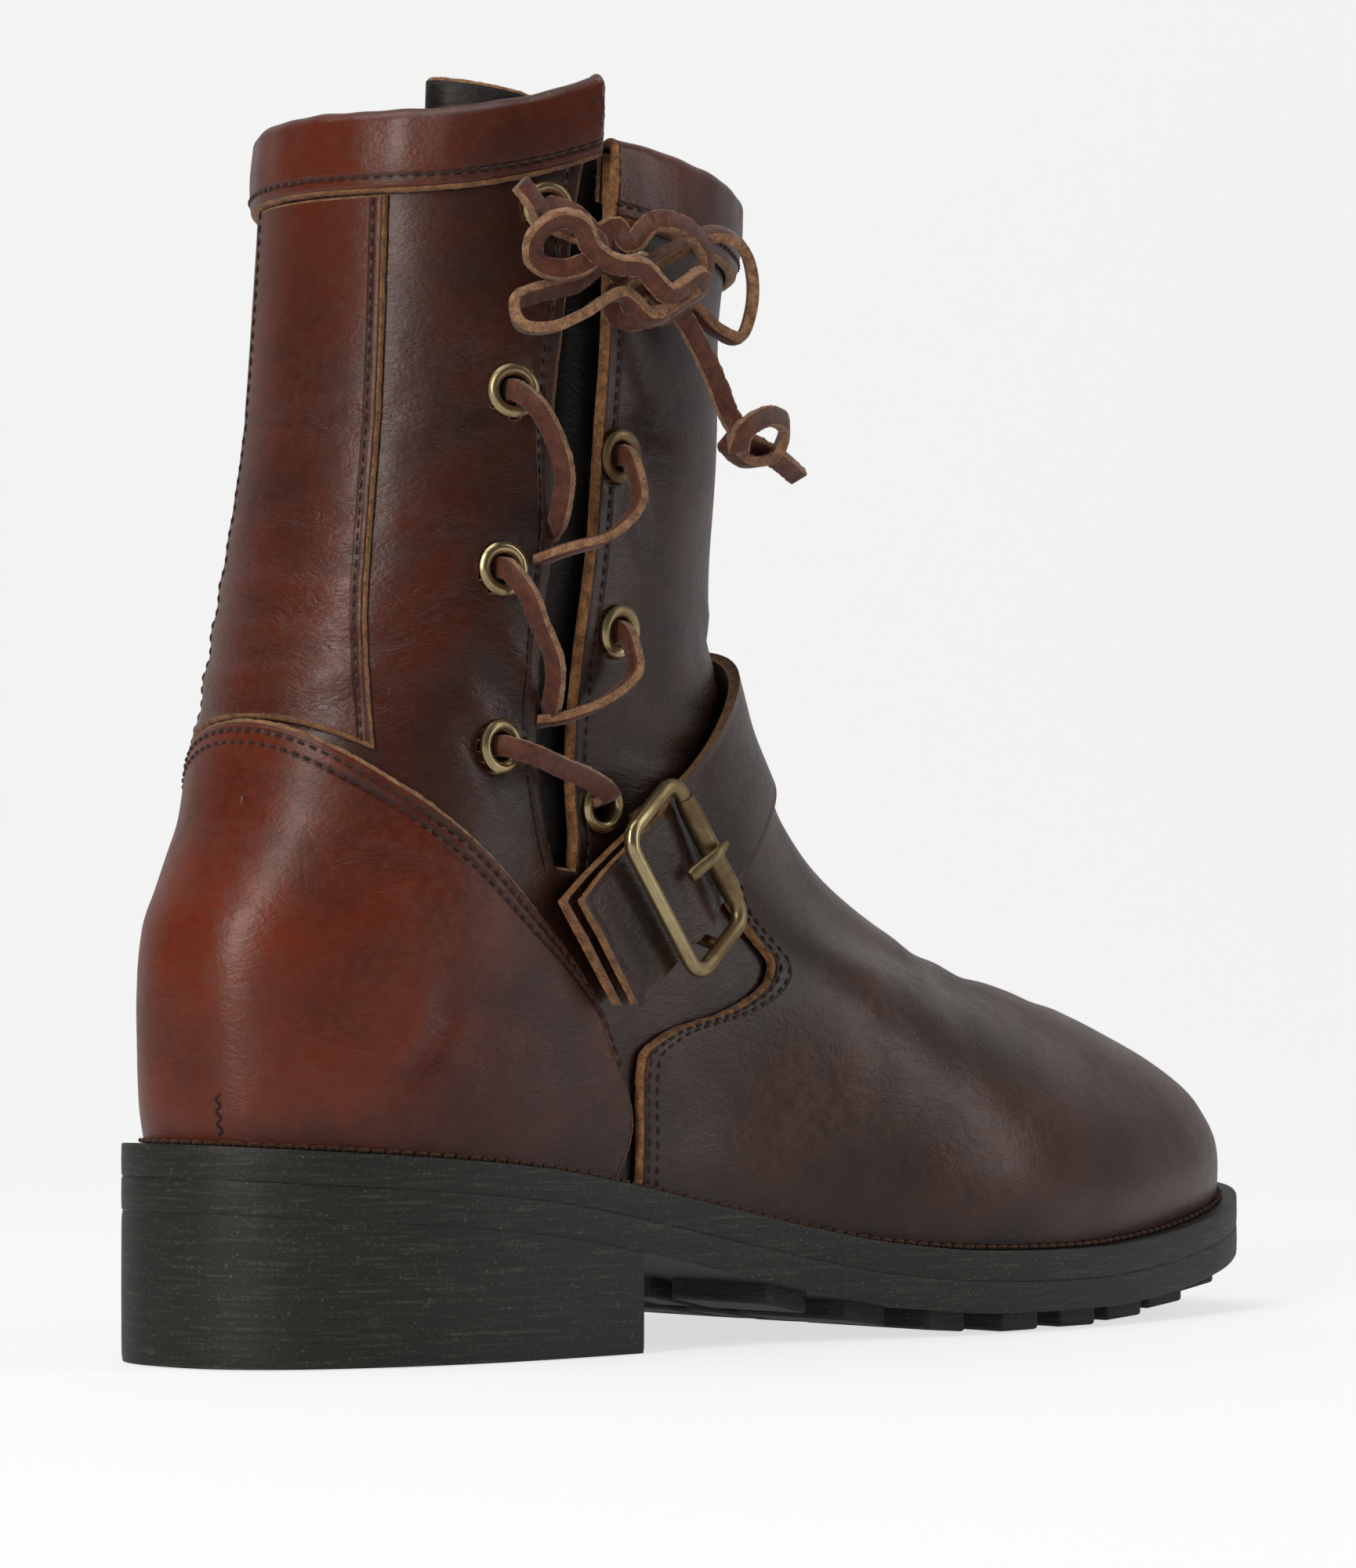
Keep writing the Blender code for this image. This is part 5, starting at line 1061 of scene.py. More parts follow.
def stitch_line(path, normals, pitch, thread, share=0.74):
    """Points and faces of a row of stitches, one capsule each, that dip at both ends."""
    length = path_length(path)
    middles = np.arange(pitch / 2, length[-1], pitch)
    centre = np.stack([np.interp(middles, length, path[:, k]) for k in range(3)], axis=1)
    ahead = np.stack([np.interp(middles + pitch * 0.3, length, path[:, k]) for k in range(3)], axis=1)
    behind = np.stack([np.interp(middles - pitch * 0.3, length, path[:, k]) for k in range(3)], axis=1)
    normal = unit(np.stack([np.interp(middles, length, normals[:, k]) for k in range(3)], axis=1))
    along = unit(ahead - behind)
    aside = np.cross(along, normal)
    half = pitch * share / 2
    points = []
    for reach, girth, lift in CAPSULE:
        for k in range(6):
            angle = math.pi * k / 3
            points.append(centre + along * reach * half + normal * thread * (lift + girth * math.sin(angle))
                          + aside * thread * girth * math.cos(angle))
    points = np.stack(points, axis=1)
    faces = []
    for i in range(4):
        for k in range(6):
            m = (k + 1) % 6
            faces.append([i * 6 + k, i * 6 + m, i * 6 + 6 + m, i * 6 + 6 + k])
    starts = np.arange(len(centre))[:, None, None] * 30
    return points.reshape(-1, 3), (np.array(faces)[None] + starts).reshape(-1, 4).tolist()


def sew(name, lines, thread):
    """One piece with all the stitches of these lines; a line is loop numbers, turns and height."""
    points, faces = [], []
    for rows, turns, out in lines:
        base, normals = on_form(rows, turns)
        lift = relief(base)[0]
        path = on_upper(rows, turns, out + lift)
        more_points, more_faces = stitch_line(path, normals, STITCH_PITCH, thread)
        faces += [[v + len(points) for v in face] for face in more_faces]
        points += more_points.tolist()
    return dress(name, points, faces, [THREAD])


print("stitches are capsules of 24 faces")

# %% [markdown]
# The upper is one hollow wall: foot and shaft, open at the collar and down the slit. On the real
# boot it is lasted wet, so its form is even and only the wear creases it. Two columns of the grid
# follow the slit's edges, and the eyelets' holes are left out of the wall.

# %% The upper
def slit_shares(row):
    """Rear and front edge of the slit on a loop."""
    heights = [SLIT_BACK_WEIGHT * loop.back_z + SLIT_FRONT_WEIGHT * loop.front_z for loop in LOOPS]
    share = smooth(list(enumerate(heights)), row)
    return smooth(SLIT, share, 1), smooth(SLIT, share, 2)


SLIT_ROWS = np.linspace(0, TOP_ROW, 400)
SLIT_HEIGHTS = height_of(SLIT_BACK_WEIGHT * loop_value("back_z", SLIT_ROWS)
                         + SLIT_FRONT_WEIGHT * loop_value("front_z", SLIT_ROWS))
SLIT_ROW = float(np.interp(SLIT_BOTTOM, SLIT_HEIGHTS, SLIT_ROWS))
FLAP_ROWS = np.linspace(SLIT_ROW, TOP_ROW, 150)
REAR_FLAP = (FLAP_ROWS, turn_at(slit_shares(FLAP_ROWS)[0]))
FRONT_FLAP = (FLAP_ROWS, turn_at(slit_shares(FLAP_ROWS)[1]))
EYELET_HOLES = np.array([on_upper(*seat) for seat in EYELET_SEATS])


def upper_grid(low_rows, high_rows, before, after):
    rows = np.concatenate([np.linspace(0, SLIT_ROW, low_rows + 1),
                           np.linspace(SLIT_ROW, TOP_ROW, high_rows + 1)[1:]])
    rear, front = slit_shares(rows)
    turns = [np.concatenate([np.linspace(0, a, before + 1), np.linspace(b, 2 * math.pi, after + 1)[:-1]])
             for a, b in zip(turn_at(rear), turn_at(front))]
    return np.repeat(rows[:, None], before + after + 1, axis=1), np.array(turns)


def inset_flap(flap, inset, towards):
    """A flap's edge line moved along the leather by a distance."""
    rows, turns = flap
    step = 0.01 * towards
    width = np.linalg.norm(on_upper(rows, turns + step) - on_upper(rows, turns), axis=1)
    return rows, turns + step * inset / width


LOW_ROWS, BEFORE = 56, 78
rows, turns = upper_grid(LOW_ROWS, 62, BEFORE, 210)
middle = on_upper((rows[1:] + rows[:-1]) / 2, (turns[1:] + turns[:-1]) / 2)
columns_middle = (middle + np.roll(middle, -1, axis=1)) / 2
holes = (np.linalg.norm(columns_middle[:, :, None] - EYELET_HOLES, axis=3) < 0.0041).any(axis=2)
holes[LOW_ROWS:, BEFORE] = True
FLAP_EDGES = [on_upper(*REAR_FLAP), on_upper(*FRONT_FLAP)]
FLAP_SEAMS = [inset_flap(REAR_FLAP, FLAP_SEAM_INSET, -1), inset_flap(FRONT_FLAP, FLAP_SEAM_INSET, 1)]
leather_panel("upper_wall", rows, turns, -WALL, 0.0, [SHAFT_LEATHER, RAW_EDGE, FLESH_SIDE],
              brims=FLAP_EDGES, seams=[on_upper(*line) for line in FLAP_SEAMS], closed=True, holes=holes,
              bulge=0.0004, stands_for=["upper"])

# %% [markdown]
# Counter and vamp are cut from the same hide and laid over the upper with raw tan edges. The edge is
# pared a little and sewn down with two rows. That bright line round dark panels is what draws the
# boot, so its rim is modelled as a rounded, slightly ragged band and not painted on.

# %% Counter
def counter_grid(up_steps, across_steps):
    across = np.linspace(-1, 1, 2 * across_steps + 1)
    up = np.linspace(0, 1, up_steps)
    places = np.abs(across) ** 0.9 * COUNTER_EDGE[-1][0]
    top_row, top_share = row_of_side_view(places * LENGTH, height_of(smooth(COUNTER_EDGE, places)))
    fine = np.linspace(0, TOP_ROW, 300)
    back_row = np.interp(height_of(COUNTER_EDGE[0][1]), height_of(loop_value("back_z", fine)), fine)
    top_turn = turn_at(top_share)
    near_back = np.abs(across) < COUNTER_BACK
    to_side = np.abs(across) / COUNTER_BACK
    top_turn = np.where(near_back, to_side * top_turn[~near_back].min(), top_turn)
    joined = top_row[~near_back].max()
    top_row = np.where(near_back, back_row + (joined - back_row) * to_side ** 2, top_row)
    foot = float(np.clip((COUNTER_FRONT * LENGTH - loop_value("back_y", 0.0) * LENGTH)
                         / (loop_value("front_y", 0.0) - loop_value("back_y", 0.0)) / LENGTH, 0, 1))
    foot_turn = float(turn_at(foot)) * np.abs(across)
    rows = np.maximum(up[:, None] * top_row[None, :], 0.03)
    turns = foot_turn[None, :] + (top_turn - foot_turn)[None, :] * up[:, None]
    turns += COUNTER_BULGE * np.sin(math.pi * up)[:, None] * (np.abs(across) ** 6)[None, :]
    return rows, np.sign(across)[None, :] * turns


OVERLAY_LOW = 1.6 * GAP
OVERLAY_TOP = OVERLAY_LOW + PANEL
rows, turns = counter_grid(74, 92)
counter_top = line_in_from_edge(rows, turns, 0.0)
PINHOLE = on_upper(np.array([8.26, 8.28, 8.30]), np.full(3, 0.1))
COUNTER_SEAMS = [line_in_from_edge(rows, turns, inset) for inset in PANEL_SEAM_INSETS]
COUNTER_SIDES = [(rows[:, k], turns[:, k]) for k in (0, -1)]
leather_panel("counter_panel", rows, turns, OVERLAY_LOW, OVERLAY_TOP,
              [COUNTER_LEATHER, RAW_EDGE, FLESH_SIDE],
              brims=[on_upper(*counter_top)] + [on_upper(*side) for side in COUNTER_SIDES],
              seams=[on_upper(*line) for line in COUNTER_SEAMS] + [PINHOLE],
              bulge=0.0005, stands_for=["counter"])
sew("counter_stitches", [(*line, OVERLAY_TOP) for line in COUNTER_SEAMS], STITCH_THREAD)

# %% Vamp
def vamp_grid(row_steps, across_steps):
    rows = np.linspace(0.03, VAMP_EDGE[-1][0], row_steps)
    start = turn_at(smooth(VAMP_EDGE, rows))
    share = np.linspace(0, 1, across_steps)
    turns = start[:, None] + (2 * math.pi - 2 * start)[:, None] * share[None, :]
    return np.repeat(rows[:, None], across_steps, axis=1), turns


rows, turns = vamp_grid(112, 150)
vamp_sides = [(rows[:, 0], turns[:, 0]), (rows[:, -1], turns[:, -1])]
VAMP_SEAMS = []
for inset in PANEL_SEAM_INSETS:
    for order in (1, -1):
        VAMP_SEAMS.append(line_in_from_edge(rows[:, ::order].T, turns[:, ::order].T, inset, "first"))
leather_panel("vamp_panel", rows, turns, OVERLAY_LOW, OVERLAY_TOP, [VAMP_LEATHER, RAW_EDGE, FLESH_SIDE],
              brims=[on_upper(*side) for side in vamp_sides] + [on_upper(rows[-1], turns[-1])],
              seams=[on_upper(*line) for line in VAMP_SEAMS], bulge=0.0005, stands_for=["vamp"])
sew("vamp_stitches", [(*line, OVERLAY_TOP) for line in VAMP_SEAMS], STITCH_THREAD)
sew("slit_stitches", [(*line, 0.0) for line in FLAP_SEAMS], FINE_THREAD)

# %% [markdown]
# The backstay covers the shaft's back seam, wider where it meets the counter. The cuff is a strip
# folded over the rim. Its fold stays soft and round, its lower edge is raw and sewn down.

# %% Backstay
def backstay_grid(rise_steps, across_steps):
    top = float(row_below_rim(CUFF_DEPTH + 2 * GAP, 0.0)[0])
    fine_rows = np.linspace(0, TOP_ROW, 300)
    back_heights = height_of(loop_value("back_z", fine_rows))
    low = np.interp(height_of(COUNTER_EDGE[0][1]) + 0.0006, back_heights, fine_rows)
    across = np.linspace(-1, 1, across_steps)
    fine = np.linspace(0, math.pi / 2, 200)
    rows, turns = [], []
    for rise in np.linspace(0, 1, rise_steps):
        half = (BACKSTAY_WIDTH + BACKSTAY_SPREAD * (1 - rise) ** 2.2) / 2
        row = low + (top - low) * rise
        length = path_length(loop_point(row, fine))
        rows.append(row - (1 - rise) * 0.42 * across ** 2)
        turns.append(across * np.interp(half, length, fine))
    return np.array(rows), np.array(turns)


rows, turns = backstay_grid(110, 46)
BACKSTAY_TOP = GAP + BACKSTAY_LEATHER
BACKSTAY_SEAMS = [
    line_in_from_edge(rows[:, ::order].T, turns[:, ::order].T, BACKSTAY_SEAM_INSET, "first")
    for order in (1, -1)]
leather_panel("backstay_strip", rows, turns, GAP, BACKSTAY_TOP, [BACKSTAY_FINISH, RAW_EDGE, FLESH_SIDE],
              brims=[on_upper(rows[:, k], turns[:, k]) for k in (0, -1)],
              seams=[on_upper(*line) for line in BACKSTAY_SEAMS], bulge=0.00028, stands_for=["backstay"])
sew("backstay_stitches", [(*line, BACKSTAY_TOP) for line in BACKSTAY_SEAMS], FINE_THREAD)


# %% Cuff
def rim_lines(section, turns):
    """Points of a section round the rim: the section is a list of distances out and down."""
    rows = np.linspace(TOP_ROW - 3, TOP_ROW, 13)
    lines = []
    for turn in turns:
        steps = np.linalg.norm(np.diff(on_upper(rows, turn), axis=0), axis=1)
        fall = np.concatenate([[0], steps[::-1].cumsum()])
        downs = np.array([down for _, down in section])
        outs = np.array([out for out, _ in section])
        here = np.interp(np.maximum(downs, 0), fall, rows[::-1])
        rise = unit(on_upper(TOP_ROW, turn) - on_upper(TOP_ROW - 0.9, turn))
        lines.append(on_upper(here, np.full(len(here), turn), outs) - rise * np.minimum(downs, 0)[:, None])
    return np.array(lines).transpose(1, 0, 2)


CUFF_OUTSIDE_STEPS = 18


def cuff_section(thick):
    inside = -(WALL + GAP)
    centre, reach = (GAP + inside) / 2, (GAP - inside) / 2
    section = [(GAP + thick + 0.0005 * math.sin(math.pi * s) * (thick > 0), CUFF_DEPTH * (1 - s))
               for s in np.linspace(0, 0.93, CUFF_OUTSIDE_STEPS)]
    section += [(centre + (reach + thick) * math.cos(a), -GAP - (reach * 0.6 + thick) * math.sin(a))
                for a in np.linspace(0, math.pi, 15)]
    return section + [(inside - thick, CUFF_TURN_IN * s) for s in np.linspace(0.1, 1.0, 8)]


rear, front = slit_shares(float(TOP_ROW))
turns = np.linspace(float(turn_at(front)), 2 * math.pi + float(turn_at(rear)), 260)
outer, inner = rim_lines(cuff_section(CUFF_LEATHER), turns), rim_lines(cuff_section(0.0), turns)
wave = 0.00022 * np.sin(turns * 23) * np.sin(turns * 7 + 1)
flat = outer.reshape(-1, 3)
lift, creased = relief(flat)
wavier_inside = np.linspace(0.2, 1, len(outer))[:, None]
puff = (lift.reshape(outer.shape[:2]) * 0.5 + wave[None, :] * wavier_inside)[..., None]
direction = unit(outer - inner)
downs = np.array([down for _, down in cuff_section(CUFF_LEATHER)][:CUFF_OUTSIDE_STEPS])
cuff_edge, cuff_seam = outer[0], outer[np.argmin(np.abs(downs - CUFF_SEAM_DOWN))]
slab("cuff_band", outer + direction * puff, inner + direction * puff * 0.3,
     [CUFF_FINISH, RAW_EDGE, FLESH_SIDE], paint(flat, lift, creased, [cuff_edge], [cuff_seam]),
     bulge=0.0004, stands_for=["cuff"])
points, faces = stitch_line(cuff_seam + direction[5] * 0.00005, direction[5], STITCH_PITCH, FINE_THREAD)
dress("cuff_stitches", points, faces, [THREAD])

# %% [markdown]
# Behind the slit lies a bellows gusset of thinner, greyer leather, folded inward, with a stitched
# top edge. It stays dark in the picture, so it gets no modelled creases.

# %% Gusset
GUSSET_FINISH = pull_up_leather(
    "gusset_leather", (14, 12, 10), (30, 25, 21), (38, 28, 22), (44, 35, 29), rough=0.5, gloss=0.08)
near, far = WALL + 4 * GAP + GUSSET_LEATHER / 2, WALL + GUSSET_DEPTH
plan = [(0.545, near), (0.47, near + 0.0004), (0.40, near + 0.0012), (0.33, near + 0.0050),
        (0.25, near + 0.0085), (0.17, far), (0.10, far - 0.001), (0.075, far - 0.004),
        (0.10, near + 0.0030), (0.17, near + 0.0010), (0.24, near + 0.0002), (0.285, near)]
plan_steps = np.linspace(0, len(plan) - 1, 110)
numbered = [(i, share, depth) for i, (share, depth) in enumerate(plan)]
shares, depths = smooth(numbered, plan_steps, 1), smooth(numbered, plan_steps, 2)
rim_grows = np.clip(plan_steps / 5, 0.3, 1.0)
rim_crown = 1 - 0.22 * ((plan_steps - 7) / 4.5) ** 2 * (plan_steps > 4)
lines = []
for h in np.linspace(0, 1, 60):
    row = SLIT_ROW - 0.5 + (TOP_ROW - SLIT_ROW + 0.5) * h
    inward = depths + (CUFF_LEATHER + GAP) * h ** 2
    line = on_upper(np.full(len(shares), row), turn_at(shares), -inward)
    line[:, 2] += h ** 6 * GUSSET_RISE * rim_grows * rim_crown - rim_lift(row, turn_at(shares))
    lines.append(line)
middle = np.array(lines)
tangent = np.gradient(middle, axis=1)
side = unit(np.stack([tangent[..., 1], -tangent[..., 0], 0 * tangent[..., 0]], axis=-1))
flat = middle.reshape(-1, 3)
marks = paint(flat, 0 * flat[:, 0], 0 * flat[:, 0] + 0.6, [middle[-1]], [])
slab("gusset_fold", middle + side * GUSSET_LEATHER / 2, middle - side * GUSSET_LEATHER / 2,
     [GUSSET_FINISH, RAW_EDGE, GUSSET_FINISH], marks, slot="gusset_leather", stands_for=["gusset"])
GUSSET_THREAD, THREAD_STAND = 0.00024, 0.00095
points, faces = stitch_line(middle[-4] + side[-4] * THREAD_STAND, side[-4], STITCH_PITCH, GUSSET_THREAD)
more_points, more_faces = stitch_line(
    middle[-4] - side[-4] * THREAD_STAND, -side[-4], STITCH_PITCH, GUSSET_THREAD)
faces += [[v + len(points) for v in face] for face in more_faces]
dress("gusset_stitches", np.concatenate([points, more_points]), faces, [THREAD], slot="gusset_leather")


# %% [markdown]
# Eyelets and buckle are antiqued brass, polished and tarnished in random patches. The eyelet is
# turned in one piece with a rolled lip. The buckle's frame is one bent wire with a centre bar, a
# roller on the far side and a flat prong.

# %% Finish: antiqued brass
def antique_brass():
    made, tree, shader, place = start_material("antique_brass")
    nap = use_group(tree, NAP, Place=place, Size=0.5)
    hide = use_group(tree, HIDE, Place=place, Crease=0.0)
    tarnish = fade(tree, hide["Mottle"], 0.38, 0.66)
    colour = blend_colours(tree, tarnish, tone(206, 186, 142), tone(128, 106, 76))
    tree.links.new(colour, shader.inputs["Base Color"])
    tree.links.new(maths(tree, "MULTIPLY_ADD", tarnish, 0.25, 0.24), shader.inputs["Roughness"])
    shader.inputs["Metallic"].default_value = 0.95
    bump = add(tree, "Bump", Strength=0.25, Distance=0.00006, Height=nap["Height"])
    tree.links.new(bump.outputs[0], shader.inputs["Normal"])
    return made


BRASS = antique_brass()


# %% Eyelets
def turned(profile, centre, axis, steps):
    """Ring turned about an axis from a closed profile of radius and height."""
    spin = np.array(Vector(axis).to_track_quat("Z", "Y").to_matrix())
    angle = np.linspace(0, 2 * math.pi, steps, endpoint=False)[:, None]
    radius, height = np.array(profile).T
    local = np.stack([radius * np.cos(angle), radius * np.sin(angle), height + 0 * angle], axis=-1)
    count = len(profile)
    faces = [[i * count + k, (i + 1) % steps * count + k, (i + 1) % steps * count + (k + 1) % count,
              i * count + (k + 1) % count] for i in range(steps) for k in range(count)]
    return centre + local.reshape(-1, 3) @ spin.T, faces


hole, barrel, flange = EYELET_HOLE / 2, EYELET_BARREL / 2, EYELET_FLANGE / 2
lip = [(hole + (flange - hole) * s,
        0.0007 + EYELET_LIP * 1.05 * math.sin(math.pi * (0.12 + 0.80 * s)) ** 0.8)
       for s in np.linspace(1, 0, 12)]
profile = [(hole, -WALL), (barrel, -WALL), (barrel, 0.0003), (flange - 0.0002, 0.0003)]
profile += lip + [(hole - 0.0001, 0.0004)]
for number, node in enumerate(EYELET_PLACES):
    centre, axis = on_form(*EYELET_SEATS[number])
    centre = centre + axis * float(relief(centre[None])[0][0])
    points, faces = turned(profile, centre, axis, 44)
    dress("brass_eyelet_" + node, points, faces, [BRASS], slot="brass", stands_for=["eyelet_" + node])


# %% [markdown]
# The instep strap is thick bridle leather. It runs from the outer counter seam over the instep. Its
# tail lies square-cut over the short doubled strap that holds the buckle. The long cut edges are
# the widest tan bands on the boot.

# %% Strap and chape
def strap_point(place, across, out):
    """Point over the upper on the strap's course: place is 0 at the outer seam, 1 at the inner."""
    slope_y, slope_z = math.cos(STRAP_SLOPE), math.sin(STRAP_SLOPE)
    foot_y = STRAP_FOOT[0] * LENGTH - slope_z * across
    foot_z = float(height_of(STRAP_FOOT[1])) + slope_y * across
    reach = np.linspace(0, 0.2, 400)
    end = reach[foot_y + reach * slope_y < front_profile(foot_z + reach * slope_z)].max()
    run = end * np.sin(math.pi * np.asarray(place))
    row, share = row_of_side_view(foot_y + run * slope_y, foot_z + run * slope_z)
    turn = np.where(np.asarray(place) > 0.5, -turn_at(share), turn_at(share))
    return on_upper(row, np.where(np.abs(np.asarray(place) - 0.5) < 1e-9, math.pi, turn), out)


STRAP_BASE = PANEL + 3.0 * GAP


def strap_slab(name, places, lift, thick, stands_for, columns=15):
    across = np.linspace(-1, 1, columns)
    outer, inner = [], []
    for a in across:
        dome = 0.00028 * (1 - a ** 4)
        outer.append(strap_point(places, a * STRAP_WIDTH / 2, STRAP_BASE + lift + thick + dome - 0.0002))
        inner.append(strap_point(places, a * STRAP_WIDTH / 2, STRAP_BASE + lift))
    outer, inner = np.array(outer)[::-1], np.array(inner)[::-1]
    flat = outer.reshape(-1, 3)
    marks = paint(flat, 0 * flat[:, 0], 0 * flat[:, 0] + 0.5, [outer[0], outer[-1], outer[:, 0]], [])
    return slab(name, outer, inner, [STRAP_FINISH, RAW_EDGE, FLESH_SIDE], marks, bulge=0.0005,
                stands_for=stands_for)


places = np.concatenate([np.linspace(0.012, 0.24, 90), np.linspace(0.245, 0.975, 130)])
tail_lift = smooth(STRAP_LIFT, places) * STRAP_LEATHER + 0.0009 * np.exp(-((places - 0.012) / 0.03) ** 2)
strap_slab("instep_strap", places, tail_lift, STRAP_LEATHER, ["strap"])
places = np.linspace(0.012, CHAPE_END, 40)
strap_slab("buckle_chape", places, 0 * places, CHAPE_LEATHER, ["chape"])


# %% Buckle
def rod(path, radii, closed=False, sides=14, flat=1.0, guide=(0.31, 0.57, 0.76)):
    """Rod along a path with a radius at each point, flattened along the guide direction."""
    path = np.asarray(path, float)
    round_trip = np.roll(path, -1, axis=0) - np.roll(path, 1, axis=0)
    tangent = unit(round_trip if closed else np.gradient(path, axis=0))
    radii = np.broadcast_to(radii, len(path))
    points, guide = [], np.array(guide, float)
    angles = [2 * math.pi * k / sides for k in range(sides)]
    for p, t, r in zip(path, tangent, radii):
        guide = unit(guide - t * (guide @ t))
        other = np.cross(t, guide)
        points += [p + (guide * math.cos(a) * flat + other * math.sin(a)) * r for a in angles]
    count = len(path)
    faces = [[i * sides + k, i * sides + (k + 1) % sides, (i + 1) % count * sides + (k + 1) % sides,
              (i + 1) % count * sides + k]
             for i in range(count if closed else count - 1) for k in range(sides)]
    if not closed:
        faces += [list(range(sides))[::-1], [(count - 1) * sides + k for k in range(sides)]]
    return np.array(points), faces


def join(parts):
    points, faces = [], []
    for more_points, more_faces in parts:
        faces += [[v + len(points) for v in face] for face in more_faces]
        points += np.asarray(more_points).tolist()
    return points, faces


centre = strap_point(BUCKLE_PLACE, 0.0, 0.0)
step = BUCKLE_PLACE / 11
along = unit(strap_point(BUCKLE_PLACE + step, 0.0, 0.0) - strap_point(BUCKLE_PLACE - step, 0.0, 0.0))
aside = strap_point(BUCKLE_PLACE, BUCKLE_WIDTH / 6, 0.0) - strap_point(BUCKLE_PLACE, -BUCKLE_WIDTH / 6, 0.0)
out = unit(np.cross(aside, along))
out = -out if out[0] < 0 else out
across = unit(np.cross(out, along))
low = STRAP_BASE + STRAP_LEATHER + GAP + BUCKLE_WIRE / 2 + 0.0012
high = STRAP_BASE + CHAPE_LEATHER + STRAP_LEATHER + 3 * GAP + BUCKLE_WIRE / 2 + 0.0014
half_l, half_w = BUCKLE_LENGTH / 2, BUCKLE_WIDTH / 2


def buckle_point(u, v, lift):
    return centre + along * u + across * v + out * lift


frame_path = []
for sx, sy, first in ((1, 1, 0), (-1, 1, 1), (-1, -1, 2), (1, -1, 3)):
    for turn in np.linspace(0, math.pi / 2, 9):
        u = sx * (half_l - BUCKLE_CORNER) + BUCKLE_CORNER * math.cos(math.pi / 2 * first + turn)
        v = sy * (half_w - BUCKLE_CORNER) + BUCKLE_CORNER * math.sin(math.pi / 2 * first + turn)
        frame_path.append(buckle_point(u, v, high + (low - high) * (u + half_l) / (2 * half_l)))
bar_lift = STRAP_BASE + BUCKLE_BAR / 2 + 0.0006
bar_path = [buckle_point(0, half_w * s, (low + high) / 2 if abs(s) > 0.9 else bar_lift)
            for s in (-1, -0.86, -0.8, 0.8, 0.86, 1)]
roller_half = half_w - BUCKLE_CORNER - 0.0006
roller_path = [buckle_point(half_l, s * roller_half, low) for s in np.linspace(-1, 1, 9)]
roller_radius = [0.0019, 0.0022, 0.0022, 0.0022, 0.0022, 0.0022, 0.0022, 0.0022, 0.0019]
points, faces = join([rod(frame_path, BUCKLE_WIRE / 2, closed=True, flat=0.9, guide=out),
                      rod(bar_path, BUCKLE_BAR / 2), rod(roller_path, roller_radius, sides=20)])
dress("brass_buckle", points, faces, [BRASS], slot="brass", stands_for=["buckle_frame"])
rest = (STRAP_BASE + float(smooth(STRAP_LIFT, BUCKLE_PLACE)) * STRAP_LEATHER + STRAP_LEATHER
        + PRONG_WIRE / 2 + 3 * GAP)
prong_top = low + 0.0022 + PRONG_WIRE / 2
prong_path = curve_through([buckle_point(0.0005, 0, rest),
                            buckle_point(half_l * 0.5, 0, max(rest, prong_top)),
                            buckle_point(half_l * 0.85, 0, prong_top + 0.0004),
                            buckle_point(half_l + BUCKLE_WIRE * 0.62, 0, prong_top - 0.0002)], 0.0005)
taper = np.interp(np.linspace(0, 1, len(prong_path)), [0, 0.1, 0.7, 1], [0.0012, 0.0015, 0.0013, 0.0008])
dress("brass_prong", *rod(prong_path, taper, flat=0.75, guide=out), [BRASS], slot="brass",
      stands_for=["buckle_prong"])

# %% [markdown]
# The sole is black rubber in layers, trimmed together so that fine lines run round its edge. Heel
# and lugs are moulded blocks with small rounded edges. Dust sits on it as pale specks. Its brushed
# lines are lighter, partly from the brushing and partly a painted sheen.

# %% Finish: black rubber
def black_rubber():
    made, tree, shader, place = start_material("black_rubber")
    brushed = use_group(tree, BRUSHED, Place=place)
    grey = blend_colours(tree, brushed["Cloud"], tone(27, 28, 25), tone(46, 46, 41))
    # Painted sheen: the brushed lines are lifted to a lighter grey, real brushing plus a painted highlight.
    streaks_and_sheen = blend_colours(tree, fade(tree, brushed["Height"], 0.50, 0.66), grey, tone(78, 78, 72))
    dust = maths(tree, "MULTIPLY", brushed["Speckle"], 0.75)
    dusty = blend_colours(tree, dust, streaks_and_sheen, tone(132, 128, 118))
    tree.links.new(dusty, shader.inputs["Base Color"])
    shader.inputs["Roughness"].default_value = 0.46
    bump = add(tree, "Bump", Strength=0.8, Distance=0.00030, Height=brushed["Height"])
    tree.links.new(bump.outputs[0], shader.inputs["Normal"])
    return made


RUBBER = black_rubber()


# %% Sole layers
def on_sole_edge(turn, grow):
    """The upper's lowest loop, grown outwards in plan."""
    step = 0.01
    along = loop_point(0, turn + step) - loop_point(0, turn - step)
    normal = unit(np.stack([along[:, 1], -along[:, 0], 0 * along[:, 0]], axis=1))
    return loop_point(0, turn) + normal * grow


def under_midsole(y):
    return sole_top(y) - MIDSOLE


def under_outsole(y):
    return np.maximum(under_midsole(y) - GAP - OUTSOLE, LUG_HEIGHT)


TRIM = 0.00004


